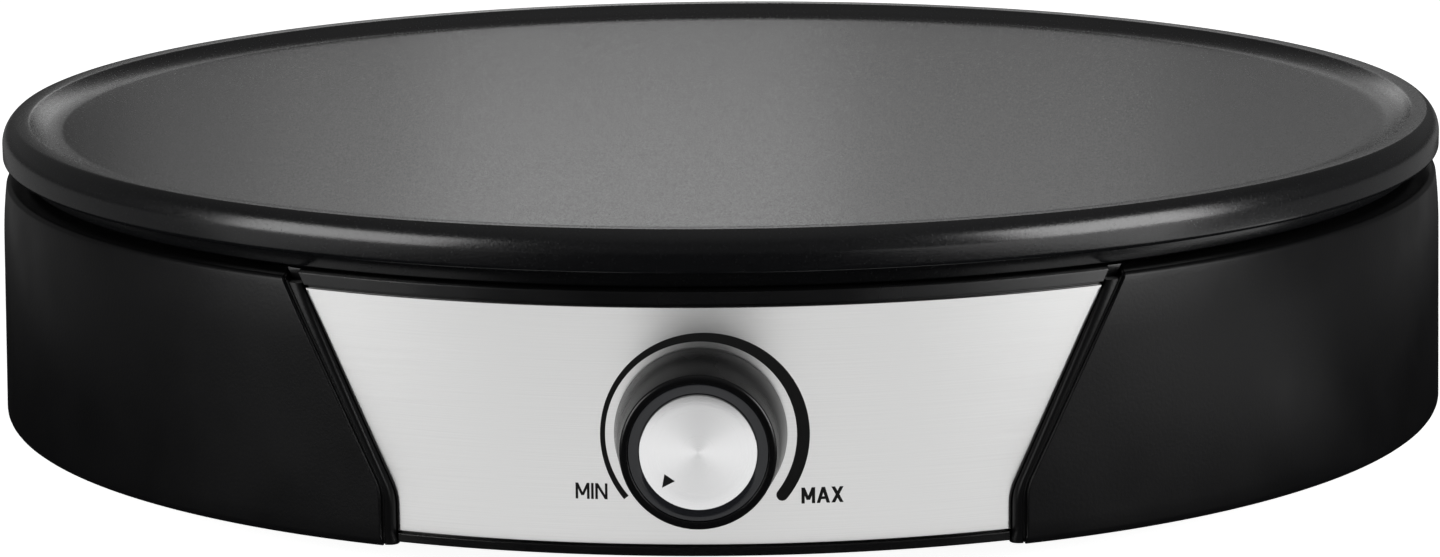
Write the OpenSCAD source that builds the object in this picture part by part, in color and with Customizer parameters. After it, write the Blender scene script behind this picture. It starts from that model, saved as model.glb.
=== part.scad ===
// Electric crepe maker: round non-stick plate on a moulded housing,
// with a steel fascia and one temperature knob at the front.
// Millimetres, +Z up, front towards -Y, table at z = 0.

/* [Plate] */
// Diameter of the cooking plate over its rim
plate_d = 320; // [300:1:340]
// Width of the raised rim, from the crease to the outer edge
rim_w = 13.2; // [12:0.2:16]
// Height of the rim crest above the cooking surface
rim_rise = 2.65; // [2.2:0.05:3]
// Depth of the rim's lower edge below the cooking surface
rim_drop = 5.8; // [5.4:0.1:8]
// Radius of the rim's outer round
rim_round = 5.8; // [5.4:0.1:6.4]
// Depth below the cooking surface at which the rim is widest
rim_belly = 2.2; // [1.8:0.1:2.6]
// Radius of the rim's lower corner
rim_corner = 1; // [0.8:0.1:2]
// Slope of the rim's cove where it leaves the crease, in degrees
cove_slope = 4; // [1:0.5:8]
// Thickness of the plate's disc
plate_t = 5; // [4:0.1:5.2]
// Inset of the skirt under the rim
skirt_inset = 4.6; // [3.5:0.1:6]
// Wall of the skirt
skirt_t = 3; // [2:0.1:4]
// Depth of the skirt below the rim
skirt_drop = 3.5; // [2:0.1:3.5]

/* [Housing] */
// How far the housing stands out past the plate
body_margin = 0.3; // [0:0.1:3]
// Height of the housing without its feet
body_h = 52.6; // [51:0.2:60]
// Wall of the mouldings
wall = 2.5; // [2:0.1:3]
// Radius of the housing's top outer edge
top_edge_r = 1.2; // [0.8:0.1:3]
// Height of the crowned band below the housing's top
crown_h = 12.2; // [8:0.2:13]
// Radius to which that band is crowned
crown_r = 100; // [100:5:200]
// How far the wall flares outwards from the crowned band down to the bottom
base_flare = 0.75; // [0:0.05:1.5]
// Radius of the housing's bottom outer edge
base_edge_r = 1.8; // [1:0.1:2.5]
// Open gap between the housing and the plate's rim
plate_gap = 4.6; // [4.4:0.1:7]
// Width of the housing's flat top flange
flange_w = 10; // [8:0.5:14]
// Width of the ledge that the base cover is screwed to
ledge_w = 14; // [13.6:0.2:18]

/* [Fascia bay] */
// Width of the bay at the top of the housing
bay_top_w = 165.8; // [150:0.2:190]
// Width of the bay in its straight lower part
bay_low_w = 126.4; // [110:0.2:140]
// Height of the bend in the bay's sides above the bottom edge
bay_bend_h = 11.6; // [9:0.2:16]
// Radius of that bend
bay_bend_r = 10; // [6:0.5:16]
// Width of the step along the bay's edge
bay_step_w = 0.8; // [0.6:0.1:1.8]
// Depth of the step along the bay's edge
bay_step_d = 0.9; // [0.5:0.1:1.2]
// Thickness of the return wall inside the bay's edge
bay_return_t = 2; // [1.6:0.1:3]
// Depth of the steel panel behind the housing's outer face
fascia_recess = 2.8; // [2:0.1:3.5]
// Open groove between the bay's edge and the panel's straight lower part
panel_gap = 2.7; // [1.6:0.1:3]
// The same groove, measured level, at the height of the housing's top
panel_gap_top = 3.1; // [1.8:0.1:3.4]
// How far the bend in the panel's sides lies below the bay's bend
panel_bend_drop = 1.2; // [0:0.1:2]
// Thickness of the steel panel
panel_t = 0.8; // [0.5:0.1:1.2]
// Depth of the groove floor behind the panel's back
groove_d = 1.5; // [1:0.1:2]
// Height of the black strip above the panel
strip_h = 2.4; // [2:0.1:5]
// How far the strip rises over the housing's top
strip_rise = 0.8; // [0:0.1:0.8]
// How far the strip and the lip stand out past the panel
strip_out = 0.9; // [0.4:0.1:1.4]
// Height of the black lip below the panel
lip_h = 1.7; // [1.5:0.1:3]

/* [Knob] */
// Height of the knob's axis above the housing's bottom edge
knob_h = 25.4; // [24:0.1:27]
// Diameter of the knob at its back
knob_back_d = 33.8; // [30:0.2:38]
// Diameter of the knob at its front
knob_front_d = 30.4; // [28:0.2:32]
// Depth of the knob in front of the panel
knob_out = 17.5; // [15:0.5:22]
// Gap between the knob's back and the panel
knob_gap = 0.5; // [0.3:0.1:1.5]
// Wall of the knob
knob_wall = 1.8; // [1.4:0.1:2.2]
// Diameter over the glossy ring
ring_d = 27; // [25:0.2:27.4]
// Diameter of the metal cap
cap_d = 22.8; // [18:0.2:23.4]
// Depth of the front pocket that holds the ring and the cap
pocket_d = 3.3; // [2.5:0.1:4]
// Diameter of the knob's hub
hub_d = 11; // [9:0.2:13]
// Diameter of the thermostat's spindle
spindle_d = 6; // [5:0.1:7]
// Height left over the flat of the spindle
spindle_flat = 4.6; // [4:0.1:4.8]

/* [Heating] */
// Diameter of the heating element's ring, at the tube's centre
element_ring_d = 200; // [180:2:210]
// Diameter of the element's tube
element_d = 8; // [6:0.2:8]
// Gap in the element's ring, in degrees
element_gap = 30; // [30:1:40]
// Bend radius where the element's ends turn down
element_bend = 8; // [6:0.5:9]
// Straight length of the element's ends below the bend
element_leg = 7; // [7:0.5:9]
// Width of the cast pad that holds the element
pad_w = 14; // [12:0.5:16]
// Diameter of the temperature sensor's bulb
bulb_d = 4; // [3:0.2:5]
// Length of the temperature sensor's bulb
bulb_l = 60; // [50:1:64]
// Diameter of the thermal fuse in its sleeve
fuse_d = 5; // [4:0.2:6]
// Length of the thermal fuse in its sleeve
fuse_l = 30; // [24:1:34]
// Distance of the bulb and of the fuse from the plate's centre
sensor_y = 30; // [26:1:36]

/* [Inside] */
// Diameter of the circle of the four pillars
pillar_circle_d = 244; // [236:2:250]
// Diameter of a pillar
pillar_d = 14; // [13:0.5:18]
// Length of the plate's cast screw bosses
boss_l = 6.6; // [6:0.1:8]
// Length of the steel spacers between shield and plate
spacer_l = 7.4; // [6.6:0.1:8]
// Thickness of the heat shield's sheet
shield_t = 0.6; // [0.4:0.1:1]
// Distance of the heat shield's edge inside the housing's outer face
shield_inset = 20; // [17:0.5:24]
// Height of the heat shield's upstand
shield_lip = 6; // [3:0.5:7]
// Thickness of the base cover
cover_t = 2.3; // [2:0.1:3]
// Depth of the base cover inside the bottom edge
cover_inset = 0.3; // [0:0.1:0.6]
// Depth of the panel's front before the thermostat's mounting face
mount_depth = 12.5; // [11.5:0.1:14]
// Width of the thermostat's block
thermostat_w = 34; // [30:1:40]
// Height of the thermostat's block
thermostat_h = 26; // [22:1:28]
// Depth of the thermostat's block
thermostat_l = 22; // [18:1:26]
// Distance of the thermostat's screws inside its sides
thermostat_screw_inset = 3; // [2:0.5:5]
// Distance of the bracket's screws from the knob's axis
bracket_screw_x = 28; // [26:0.5:30]
// Diameter of a lead over its insulation
lead_d = 2.4; // [2:0.1:2.8]
// Diameter of the capillary tube
capillary_d = 1.6; // [1:0.1:2]

/* [Base] */
// Height of the feet below the housing
foot_h = 4.6; // [3.6:0.1:8]
// Diameter of a foot
foot_d = 12; // [12:0.5:20]
// Distance of a foot's axis inside the housing's ledge
foot_inset = 10.8; // [5.4:0.2:12]
// Angle of each foot from the front-to-back line
foot_angle = 38; // [30:1:40]
// Width of a vent slot
vent_w = 3.2; // [2.4:0.1:4]
// Number of vent slots in the outer row
vent_count = 20; // [12:1:24]
// Height of the cord gland's axis above the housing's bottom edge
gland_h = 18; // [16:0.5:26]
// Diameter of the opening through the cord gland
gland_bore = 7.2; // [5:0.1:8.4]
// How far the cord gland's flange stands out of the housing
gland_out = 2.3; // [1.5:0.1:4]

/* [Hidden] */
$fn = 64;

// Clearances
seat = 0.1;        // curved faces that seat on each other
groove_seat = 0.2; // the element's tube in its groove
slip = 0.3;        // mouldings that slide together
run = 0.04;        // spindle in its bush
screw_play = 0.05; // thread to its pilot hole
eps = 0.01;

// Radii and heights
seat_h = 16;       // depth of the screw seats in the pillars
plate_r = plate_d / 2;
body_r = plate_r + body_margin;
inner_r = body_r - wall;
crease_r = plate_r - rim_w;
base_z = foot_h;
top_z = base_z + body_h;
rim_z = top_z + plate_gap;
surface_z = rim_z + rim_drop;
under_z = surface_z - plate_t;
skirt_r = plate_r - skirt_inset;
flange_r = body_r - flange_w;
ledge_r = inner_r - ledge_w;
cover_z = base_z + cover_inset;
floor_z = cover_z + cover_t;
boss_z = under_z - boss_l;
shield_z = boss_z - spacer_l - shield_t;
shield_r = body_r - shield_inset;
pillar_r = pillar_circle_d / 2;
seat_z = base_z + seat_h;

// Outer skin of the housing: flared below crown_z, crowned above it
crown_z = top_z - crown_h;
flare = atan(base_flare / (crown_z - base_z));
crown_c = [body_r, crown_z] - crown_r * [cos(flare), sin(flare)];
edge_z = top_z - top_edge_r;
edge_c = [crown_c.x + sqrt(pow(crown_r - top_edge_r, 2) - pow(edge_z - crown_c.y, 2)), edge_z];
base_c = [wall_x(base_z + base_edge_r) - base_edge_r / cos(flare), base_z + base_edge_r];
function wall_x(z) = body_r + (crown_z - z) * tan(flare);

// Fascia
fascia_r = body_r - fascia_recess;
back_r = fascia_r - panel_t - 0.05;
groove_r = back_r - groove_d;
frame_r = groove_r - 2;
strip_r = fascia_r + strip_out;
strip_top = top_z + strip_rise;
strip_z = strip_top - strip_h;
strip_line = 0.75; // open line between the strip and the panel
lip_z = base_z + 0.8;
lip_line = 0.35;   // open line between the lip and the panel
prism_y = 90;      // the prism starts this far in front of the plate's axis

// Outlines: half width low down, half width at the housing's top, height of the bend
bay_form = [bay_low_w / 2, bay_top_w / 2, base_z + bay_bend_h];
panel_form = bay_form - [panel_gap, panel_gap_top, panel_bend_drop];

// Knob and thermostat
knob_z = base_z + knob_h;
knob_r = knob_back_d / 2;
front_r = knob_front_d / 2;
pocket_r = ring_d / 2 + seat;
mount_y = fascia_r - mount_depth;
bracket_t = 1.5;
clamp_t = 1.2;
bush_d = spindle_d + 4;
bush_l = 5;
spindle_in = 6;
spindle_end = knob_out - pocket_d - 2;
shaft_hole = bush_d + 3;
block_y = mount_y - clamp_t;
block_back = block_y - thermostat_l;
cup_d = 20;
cup_l = 3;
cup_back = block_back - cup_l;
tab_w = 6.3;
tab_t = 0.8;
tab_l = 8;
tab_x = thermostat_w / 2 - 5;
thermostat_screw_x = thermostat_w / 2 - thermostat_screw_inset;

// Element
ring_r = element_ring_d / 2;
tube_r = element_d / 2;
element_z = under_z - tube_r - 0.4;
end_angle = element_gap / 2;
leg_z = element_z - element_bend - element_leg;
sleeve_t = 0.8;    // sleeves over the joints of the tube's cold ends
sleeve_l = 4;
pad_end = ring_r * sin(end_angle + 2);
bead_l = 5;
pin_l = 4;
leg_play = 5;      // round the element's ends where they pass the shield
strap_t = 1;
strap_x = pad_w / 2 + 4;
strap_z = element_z - tube_r;
strap_angles = [30, 150, 270];
sensor_z = under_z - bulb_d / 2 - 0.05;
fuse_z = under_z - fuse_d / 2 - 0.05;
clip_t = 0.6;
clip_w = 10;

// Fasteners
plate_screw_d = 4;
plate_head_d = 7.6;
plate_head_h = 2.8;
plate_thread_l = 7; // reach of the plate's screws into its bosses
boss_d = 12;
spacer_d = 9;
earth_screw_d = 4;
earth_head_d = 7;
earth_head_h = 2.2;
cover_head_d = 6;
small_screw_d = 3;
small_head_d = 5.5;
small_head_h = 1.8;
clamp_screw_l = 6;
tower_inset = 12.3;
cover_screw_r = body_r - tower_inset;
shell_screw_angles = [20, 65, 115, 160, 215, 325];
frame_screw_angles = [253, 287];
cover_screw_angles = concat(shell_screw_angles, frame_screw_angles);
tower_d = 9;
tower_h = 16;
rib_t = 2;
rim_rib_t = 1.6;   // the base cover's locating rib
recess_d = 7;
recess_h = 1.4;
pillar_angles = [45, 135, 225, 315];
vent_r = 60;       // where the slots of the outer row begin
vent_l = 22;
inner_vent_r = 28;
inner_vent_l = 18;
foot_r = ledge_r - foot_inset;
foot_stem_r = 2.5;
foot_head_r = 3.2;
foot_head_h = 1.6;
foot_angles = [for (side = [-90, 90]) for (turn = [-foot_angle, foot_angle]) side + turn];

// Wiring
block_w = 30;
block_l = 16;
block_h = 13;
block_gap = 11.8;  // from the block's back to the ledge
block_front = ledge_r - block_gap - block_l;
way_x = 10;
earth_at = [58, 62];
bulb_hole = [-46, -46];
switched_hole = [48, -24];
heater_hole = [-36, 59];
pass_d = 9;
tag_t = 0.8;

// Where a lead meets the front of the terminal block
function way(k) = [k * way_x, block_front - 0.1, floor_z + 6];
// Foot of one of the element's terminals
function element_end(side) = let (a = 90 + side * end_angle, l = side * element_bend)
  [ring_r * cos(a) + l * sin(a), ring_r * sin(a) - l * cos(a), leg_z - bead_l - pin_l - tab_l - 0.1];
// End of one of the thermostat's terminals
function thermostat_end(side) = [side * tab_x, -block_back + tab_l + 0.1, knob_z - 4];
// End of the thermal fuse
function fuse_end(side) = [side * (fuse_l / 2 + 0.1), sensor_y, fuse_z];
// Crimped end of the earth tag
earth_end = [earth_at.x, earth_at.y + 9, shield_z - tag_t - lead_d / 2 - 0.1];

// Points that the leads and the capillary tube pass between their ends
live_route = [
  [-12, block_front - 8, floor_z + 3], [-30, block_front - 26, floor_z + 2],
  [-54, 30, floor_z + 2], [-56, -20, floor_z + 2], [-44, -66, floor_z + 3],
  [-22, 38 - block_back, knob_z - 10], [-12, 16 - block_back, knob_z - 5]
];
switched_route = [
  [13, 16 - block_back, knob_z - 4], [34, 44 - block_back, knob_z], [50, -46, knob_z + 7],
  [48, -24, shield_z + 0.3], [40, -2, shield_z + 8], [28, 28, fuse_z - 1]
];
heater_route = [
  [-25, 35, fuse_z - 1], [-34, 50, shield_z + 6], [-36, 59, shield_z],
  [-34, 72, shield_z - 12], [-26, ring_r - 13, leg_z - 24], [-18, ring_r - 1, leg_z - 22]
];
neutral_route = [
  [11, block_front - 6, floor_z + 5], [18, ring_r + 3, leg_z - 25], [18, ring_r - 1, leg_z - 22]
];
earth_route = [
  [0, block_front - 9, floor_z + 6], [6, block_front - 22, floor_z + 10],
  [30, 84, floor_z + 20], [52, 76, shield_z - 6]
];
capillary_route = [
  [-39, -32, sensor_z - 0.5], [-46, -39, shield_z + 7], [-46, -46, shield_z - 1],
  [-38, -64, shield_z - 12], [-20, 32 - block_back, knob_z + 2], [-4, 15 - block_back, knob_z]
];

// Cord gland
gland_z = base_z + gland_h;
gland_neck_d = 12;
gland_flange_d = 17;
gland_collar_d = 14.4;
gland_y = wall_x(gland_z - gland_flange_d / 2) + 0.05;
gland_back = inner_r - 3;

// The frame's origin is the middle of the whole part, on the table
front_reach = fascia_r + knob_out;
rear_reach = gland_y + gland_out;
module placed() { translate([0, (front_reach - rear_reach) / 2, 0]) children(); }

// ---- shared shapes ----

// Copies its children to each angle of a circle
module around(angles, r) {
  for (a = angles) rotate(a) translate([r, 0, 0]) children();
}

// Flat ring between two radii
module ring(r0, r1, z0, z1) {
  translate([0, 0, z0]) difference() {
    cylinder(r = r1, h = z1 - z0, $fn = 180);
    translate([0, 0, -1]) cylinder(r = r0, h = z1 - z0 + 2, $fn = 180);
  }
}

// Points along an arc, for rounding the corners of an outline
function arc(centre, r, from, to, steps) =
  [for (k = [0:steps]) let (a = from + (to - from) * k / steps) centre + r * [cos(a), sin(a)]];

// Upright tube
module pipe(d, bore, h) {
  difference() {
    cylinder(d = d, h = h);
    translate([0, 0, -1]) cylinder(d = bore, h = h + 2);
  }
}

// Pan-head screw: head below z = 0, shank above it
module pan_screw(d, head_d, head_h, l) {
  translate([0, 0, -head_h]) cylinder(d = head_d, h = head_h);
  translate([0, 0, -eps]) cylinder(d = d, h = l + eps);
}

// Turns +Z to the front (-Y), at the height of the knob's axis
module to_front(y) { translate([0, -y, knob_z]) rotate([90, 0, 0]) children(); }

// Right side of an outline, moved inwards by inset, from z0 to z1: straight, bend, slope
function form_side(form, inset, z0, z1) = let (
    tilt = atan((form[1] - form[0]) / (top_z - form[2])),
    c = [form[0] + bay_bend_r, form[2] - bay_bend_r * tan(tilt / 2)],
    r = bay_bend_r + inset
  ) concat(
    [[form[0] - inset, z0]],
    [for (k = [0:6]) let (a = tilt * k / 6) c + r * [-cos(a), sin(a)]],
    [[c.x - r / cos(tilt) + (z1 - c.y) * tan(tilt), z1]]
  );

// Prism through the front wall with an outline, past the housing's top and bottom
module bay_prism(inset, form = bay_form) {
  side = form_side(form, inset, -base_z, top_z + wall);
  n = len(side);
  other = [for (k = [n - 1:-1:0]) [-side[k].x, side[k].y]];
  translate([0, -prism_y, 0]) rotate([90, 0, 0]) linear_extrude(body_r) polygon(concat(side, other));
}

// Curved wall between two radii, inside an outline
module bay_wall(r0, r1, inset, z0, z1, form = bay_form) {
  intersection() {
    ring(r0, r1, z0, z1);
    bay_prism(inset, form);
  }
}

// Round tube along a smooth curve through the given points, its ends square to first and last
function unit(v) = v / norm(v);
function blend4(a, b, c, d, t) =
  0.5 * ((2 * b) + (c - a) * t + (2 * a - 5 * b + 4 * c - d) * t * t
    + (3 * b - a - 3 * c + d) * t * t * t);
function smooth(p, steps) = concat(
  [for (i = [0:len(p) - 2]) for (k = [0:steps - 1])
    blend4(p[max(i - 1, 0)], p[i], p[i + 1], p[min(i + 2, len(p) - 1)], k / steps)],
  [p[len(p) - 1]]
);
function headings(p, first, last) =
  [for (i = [0:len(p) - 1]) i == 0 ? first : i == len(p) - 1 ? last : unit(p[i + 1] - p[i - 1])];
function square_to(n, t) = unit(n - t * (n * t));
function normals(t, n, i = 0) =
  i == len(t) ? [] : let (m = square_to(n, t[i])) concat([m], normals(t, m, i + 1));
module lead(points, d, first, last) {
  sides = 8;
  p = smooth(points, 2);
  t = headings(p, first, last);
  n = normals(t, abs(first.x) > 0.5 ? [0, 0, 1] : [1, 0, 0]);
  rings = len(p);
  verts = [for (i = [0:rings - 1]) for (k = [0:sides - 1])
    let (a = 360 * k / sides) p[i] + d / 2 * (cos(a) * n[i] + sin(a) * cross(t[i], n[i]))];
  skin = [for (i = [0:rings - 2]) for (k = [0:sides - 1])
    let (a = i * sides + k, b = i * sides + (k + 1) % sides)
      [a, a + sides, b + sides, b]];
  caps = [[for (k = [0:sides - 1]) k], [for (k = [sides - 1:-1:0]) (rings - 1) * sides + k]];
  polyhedron(points = verts, faces = concat(skin, caps));
}

// ---- plate and heating ----

// Section of the raised rim: cove, crest round, outer round and lower corner
module rim_section() {
  crest_r = 1;
  out_c = [plate_r - rim_round, surface_z - rim_belly];
  crest_y = surface_z + rim_rise - crest_r;
  reach = rim_round - crest_r;
  crest_c = [out_c.x + sqrt(reach * reach - pow(crest_y - out_c.y, 2)), crest_y];
  crease = [crease_r, surface_z];
  cove_n = [-sin(cove_slope), cos(cove_slope)];
  gap = crease - crest_c;
  cove_r = (gap * gap - crest_r * crest_r) / (2 * (crest_r - gap * cove_n));
  cove_c = crease + cove_r * cove_n;
  inner_t = crest_c + crest_r * unit(cove_c - crest_c);
  outer_v = unit(crest_c - out_c);
  difference() {
    polygon([[crease_r, rim_z], crease, inner_t, crest_c, out_c + [1, 0], [out_c.x + 1, rim_z]]);
    translate(cove_c) circle(r = cove_r, $fn = 256);
  }
  translate(crest_c) circle(r = crest_r);
  intersection() {
    translate(out_c) circle(r = rim_round, $fn = 96);
    polygon([out_c, out_c + [2 * rim_round, 0], out_c + 2 * rim_round * [1, 1],
      out_c + 2 * rim_round * outer_v]);
  }
  translate([out_c.x - eps, rim_z + rim_corner])
    square([rim_round + eps, out_c.y - rim_z - rim_corner]);
  translate([out_c.x - eps, rim_z]) square([rim_round - rim_corner + eps, rim_corner + eps]);
  translate([plate_r - rim_corner, rim_z + rim_corner]) circle(r = rim_corner);
}

module cooking_plate() color("#3c3e42") placed() {
  difference() {
    union() {
      rotate_extrude($fn = 180) {
        translate([0, under_z]) square([crease_r + eps, plate_t]);
        rim_section();
        translate([skirt_r - skirt_t, rim_z - skirt_drop]) square([skirt_t, skirt_drop + 1]);
        difference() {
          translate([ring_r - pad_w / 2, element_z]) square([pad_w, under_z - element_z + eps]);
          translate([ring_r, element_z]) circle(r = tube_r + groove_seat);
        }
      }
      around(pillar_angles, pillar_r) translate([0, 0, boss_z]) cylinder(d = boss_d, h = boss_l + 1);
      around(strap_angles, ring_r) for (side = [-1, 1])
        translate([side * strap_x, 0, strap_z]) cylinder(d = 7, h = under_z - strap_z + 1);
    }
    around(pillar_angles, pillar_r) translate([0, 0, boss_z - 1])
      cylinder(d = plate_screw_d + 2 * screw_play, h = 9);
    around(strap_angles, ring_r) for (side = [-1, 1])
      translate([side * strap_x, 0, strap_z - 1])
        cylinder(d = small_screw_d + 2 * screw_play, h = 7);
    for (side = [-1, 1]) translate([0, side * (sensor_y - 8), under_z - 1])
      cylinder(d = small_screw_d + 2 * screw_play, h = 4);
    translate([-pad_end, ring_r - pad_w, element_z - 1])
      cube([2 * pad_end, 2 * pad_w, under_z - element_z + 1]);
  }
}

// Places its children at the foot of each of the element's two turned-down ends
module element_ends() {
  for (side = [-1, 1]) {
    a = 90 + side * end_angle;
    along = side * element_bend;
    translate([ring_r * cos(a) + along * sin(a), ring_r * sin(a) - along * cos(a), leg_z]) children();
  }
}

module heating_element() color("#6d6a66") placed() {
  translate([0, 0, element_z]) rotate(90 + end_angle)
    rotate_extrude(angle = 360 - element_gap, $fn = 180) translate([ring_r, 0]) circle(d = element_d);
  for (side = [-1, 1]) rotate(90 + side * end_angle) {
    translate([ring_r, 0, element_z - element_bend]) rotate(side * -90) rotate([90, 0, 0])
      rotate_extrude(angle = 90) translate([element_bend, 0]) circle(d = element_d);
    translate([ring_r, 0, element_z]) rotate([90, 0, 0])
      cylinder(d = element_d + sleeve_t, h = sleeve_l, center = true);
  }
  element_ends() {
    cylinder(d = element_d, h = element_leg);
    translate([0, 0, element_leg - sleeve_l / 2]) cylinder(d = element_d + sleeve_t, h = sleeve_l);
  }
}

module element_insulators() color("#e9e6dc") placed() {
  element_ends() translate([0, 0, -bead_l]) pipe(element_d - 1, 2.2, bead_l);
}

module element_terminals() color("#b9b4a6") placed() {
  element_ends() {
    translate([0, 0, -bead_l - pin_l]) cylinder(d = 2, h = bead_l + pin_l);
    translate([-tab_w / 2, -tab_t / 2, -bead_l - pin_l - tab_l]) cube([tab_w, tab_t, tab_l]);
  }
}

module element_clamps() color("#a7a9ab") placed() {
  around(strap_angles, ring_r) translate([0, 0, strap_z - strap_t]) difference() {
    translate([-strap_x - 4, -5, 0]) cube([2 * strap_x + 8, 10, strap_t]);
    for (side = [-1, 1]) translate([side * strap_x, 0, -1])
      cylinder(d = small_screw_d + 0.4, h = strap_t + 2);
  }
}

module element_clamp_screws() color("#c4c6c8") placed() {
  around(strap_angles, ring_r) for (side = [-1, 1])
    translate([side * strap_x, 0, strap_z - strap_t])
      pan_screw(small_screw_d, small_head_d, small_head_h, clamp_screw_l);
}

module sensor_bulb() color("#b06a3a") placed() {
  translate([-bulb_l / 2, -sensor_y, sensor_z]) rotate([0, 90, 0]) cylinder(d = bulb_d, h = bulb_l);
}

// Saddle clip under a rod of diameter d, with one wing against the plate
module saddle_clip(d) {
  inner = d / 2 + seat;
  outer = inner + clip_t;
  translate([-clip_w / 2, 0, 0]) rotate([90, 0, 90]) linear_extrude(clip_w) {
    difference() {
      union() {
        circle(r = outer);
        translate([-outer, 0]) square([2 * outer, d / 2]);
      }
      circle(r = inner);
      translate([-inner, 0]) square([2 * inner, d]);
      translate([-d, d / 2]) square([2 * d, d]);
    }
    translate([inner, d / 2 - clip_t]) square([12 - inner, clip_t]);
  }
}

// A clip over a rod at distance y, its wing turned to the plate's centre
module plate_clip(side, d, z) {
  rotate(side > 0 ? 180 : 0) difference() {
    translate([0, -sensor_y, z]) saddle_clip(d);
    translate([0, -sensor_y + 8, z]) cylinder(d = small_screw_d + 0.4, h = d);
  }
}

module sensor_clip() color("#c4c6c8") placed() plate_clip(-1, bulb_d, sensor_z);

module fuse_clip() color("#c4c6c8") placed() plate_clip(1, fuse_d, fuse_z);

module clip_screws() color("#b9bbbd") placed() {
  for (side = [-1, 1]) translate([0, side * (sensor_y - 8), under_z - clip_t - 0.05])
    pan_screw(small_screw_d, small_head_d, small_head_h, clip_t + 2.5);
}

module thermal_fuse() color("#ded9cb") placed() {
  translate([-fuse_l / 2, sensor_y, fuse_z]) rotate([0, 90, 0]) cylinder(d = fuse_d, h = fuse_l);
}

module capillary_tube() color("#b06a3a") placed() {
  bulb_end = [-bulb_l / 2 - 0.1, -sensor_y, sensor_z];
  cup_end = [0, -cup_back + 0.1, knob_z];
  lead(concat([bulb_end], capillary_route, [cup_end]), capillary_d, [-1, 0, 0], [0, -1, 0]);
}

module heat_shield() color("#aeb0b2") placed() {
  difference() {
    union() {
      translate([0, 0, shield_z]) cylinder(r = shield_r, h = shield_t, $fn = 180);
      ring(shield_r - shield_t, shield_r, shield_z, shield_z + shield_lip);
    }
    around(pillar_angles, pillar_r) translate([0, 0, shield_z - 1])
      cylinder(d = plate_screw_d + 0.4, h = 3);
    translate([0, 0, shield_z - leg_z - 1]) element_ends() cylinder(d = element_d + leg_play, h = 3);
    for (p = [bulb_hole, switched_hole, heater_hole])
      translate([p.x, p.y, shield_z - 1]) cylinder(d = pass_d, h = 3);
    translate([earth_at.x, earth_at.y, shield_z - 1]) cylinder(d = earth_screw_d + 0.2, h = 3);
  }
}

module plate_spacers() color("#c4c6c8") placed() {
  around(pillar_angles, pillar_r) translate([0, 0, shield_z + shield_t])
    pipe(spacer_d, plate_screw_d + 0.4, spacer_l);
}

module plate_screws() color("#b9bbbd") placed() {
  around(pillar_angles, pillar_r) translate([0, 0, seat_z])
    pan_screw(plate_screw_d, plate_head_d, plate_head_h, boss_z + plate_thread_l - seat_z);
}

// ---- housing ----

// Section of the housing: wall with rounded outer edges, top flange and base ledge
module housing_section() {
  turn = atan2(edge_c.y - crown_c.y, edge_c.x - crown_c.x);
  polygon(concat(
    [[inner_r, base_z]],
    arc(base_c, base_edge_r, -90, flare, 4),
    arc(crown_c, crown_r, flare, turn, 4),
    arc(edge_c, top_edge_r, turn + (90 - turn) / 4, 90, 3),
    [[flange_r, top_z], [flange_r, top_z - wall], [inner_r, top_z - wall],
      [inner_r, floor_z + wall], [ledge_r, floor_z + wall], [ledge_r, floor_z], [inner_r, floor_z]]
  ));
}

// Round body inside the housing's outer skin, past its top and bottom
module skin_body(depth) {
  turn = asin((top_z + 1 - crown_c.y) / (crown_r - depth));
  rotate_extrude($fn = 180) polygon(concat(
    [[0, base_z - 1], [wall_x(base_z - 1) - depth / cos(flare), base_z - 1]],
    arc(crown_c, crown_r - depth, flare, turn, 4),
    [[0, top_z + 1]]
  ));
}

// Screw tower that grows out of the ledge, tied to the wall by a rib
module tower() {
  translate([0, 0, floor_z + wall / 2]) {
    cylinder(d = tower_d, h = tower_h - wall / 2);
    translate([0, -rib_t / 2, 0]) cube([inner_r - cover_screw_r + wall / 2, rib_t, tower_h - 5]);
  }
}

module tower_bores(angles) {
  around(angles, cover_screw_r) translate([0, 0, floor_z - 1])
    cylinder(d = small_screw_d + 2 * screw_play, h = tower_h - 1);
}

module housing_shell() color("#1d1e20") placed() {
  difference() {
    union() {
      rotate_extrude($fn = 180) housing_section();
      around(shell_screw_angles, cover_screw_r) tower();
    }
    bay_prism(0);
    difference() {
      bay_prism(-bay_step_w);
      skin_body(bay_step_d);
    }
    tower_bores(shell_screw_angles);
    translate([0, 0, gland_z]) rotate([-90, 0, 0]) cylinder(d = gland_neck_d + slip, h = gland_y + 1);
  }
  difference() {
    bay_wall(groove_r + seat, inner_r + eps, -bay_return_t, floor_z, top_z - wall + eps);
    bay_prism(0);
  }
}

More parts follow.
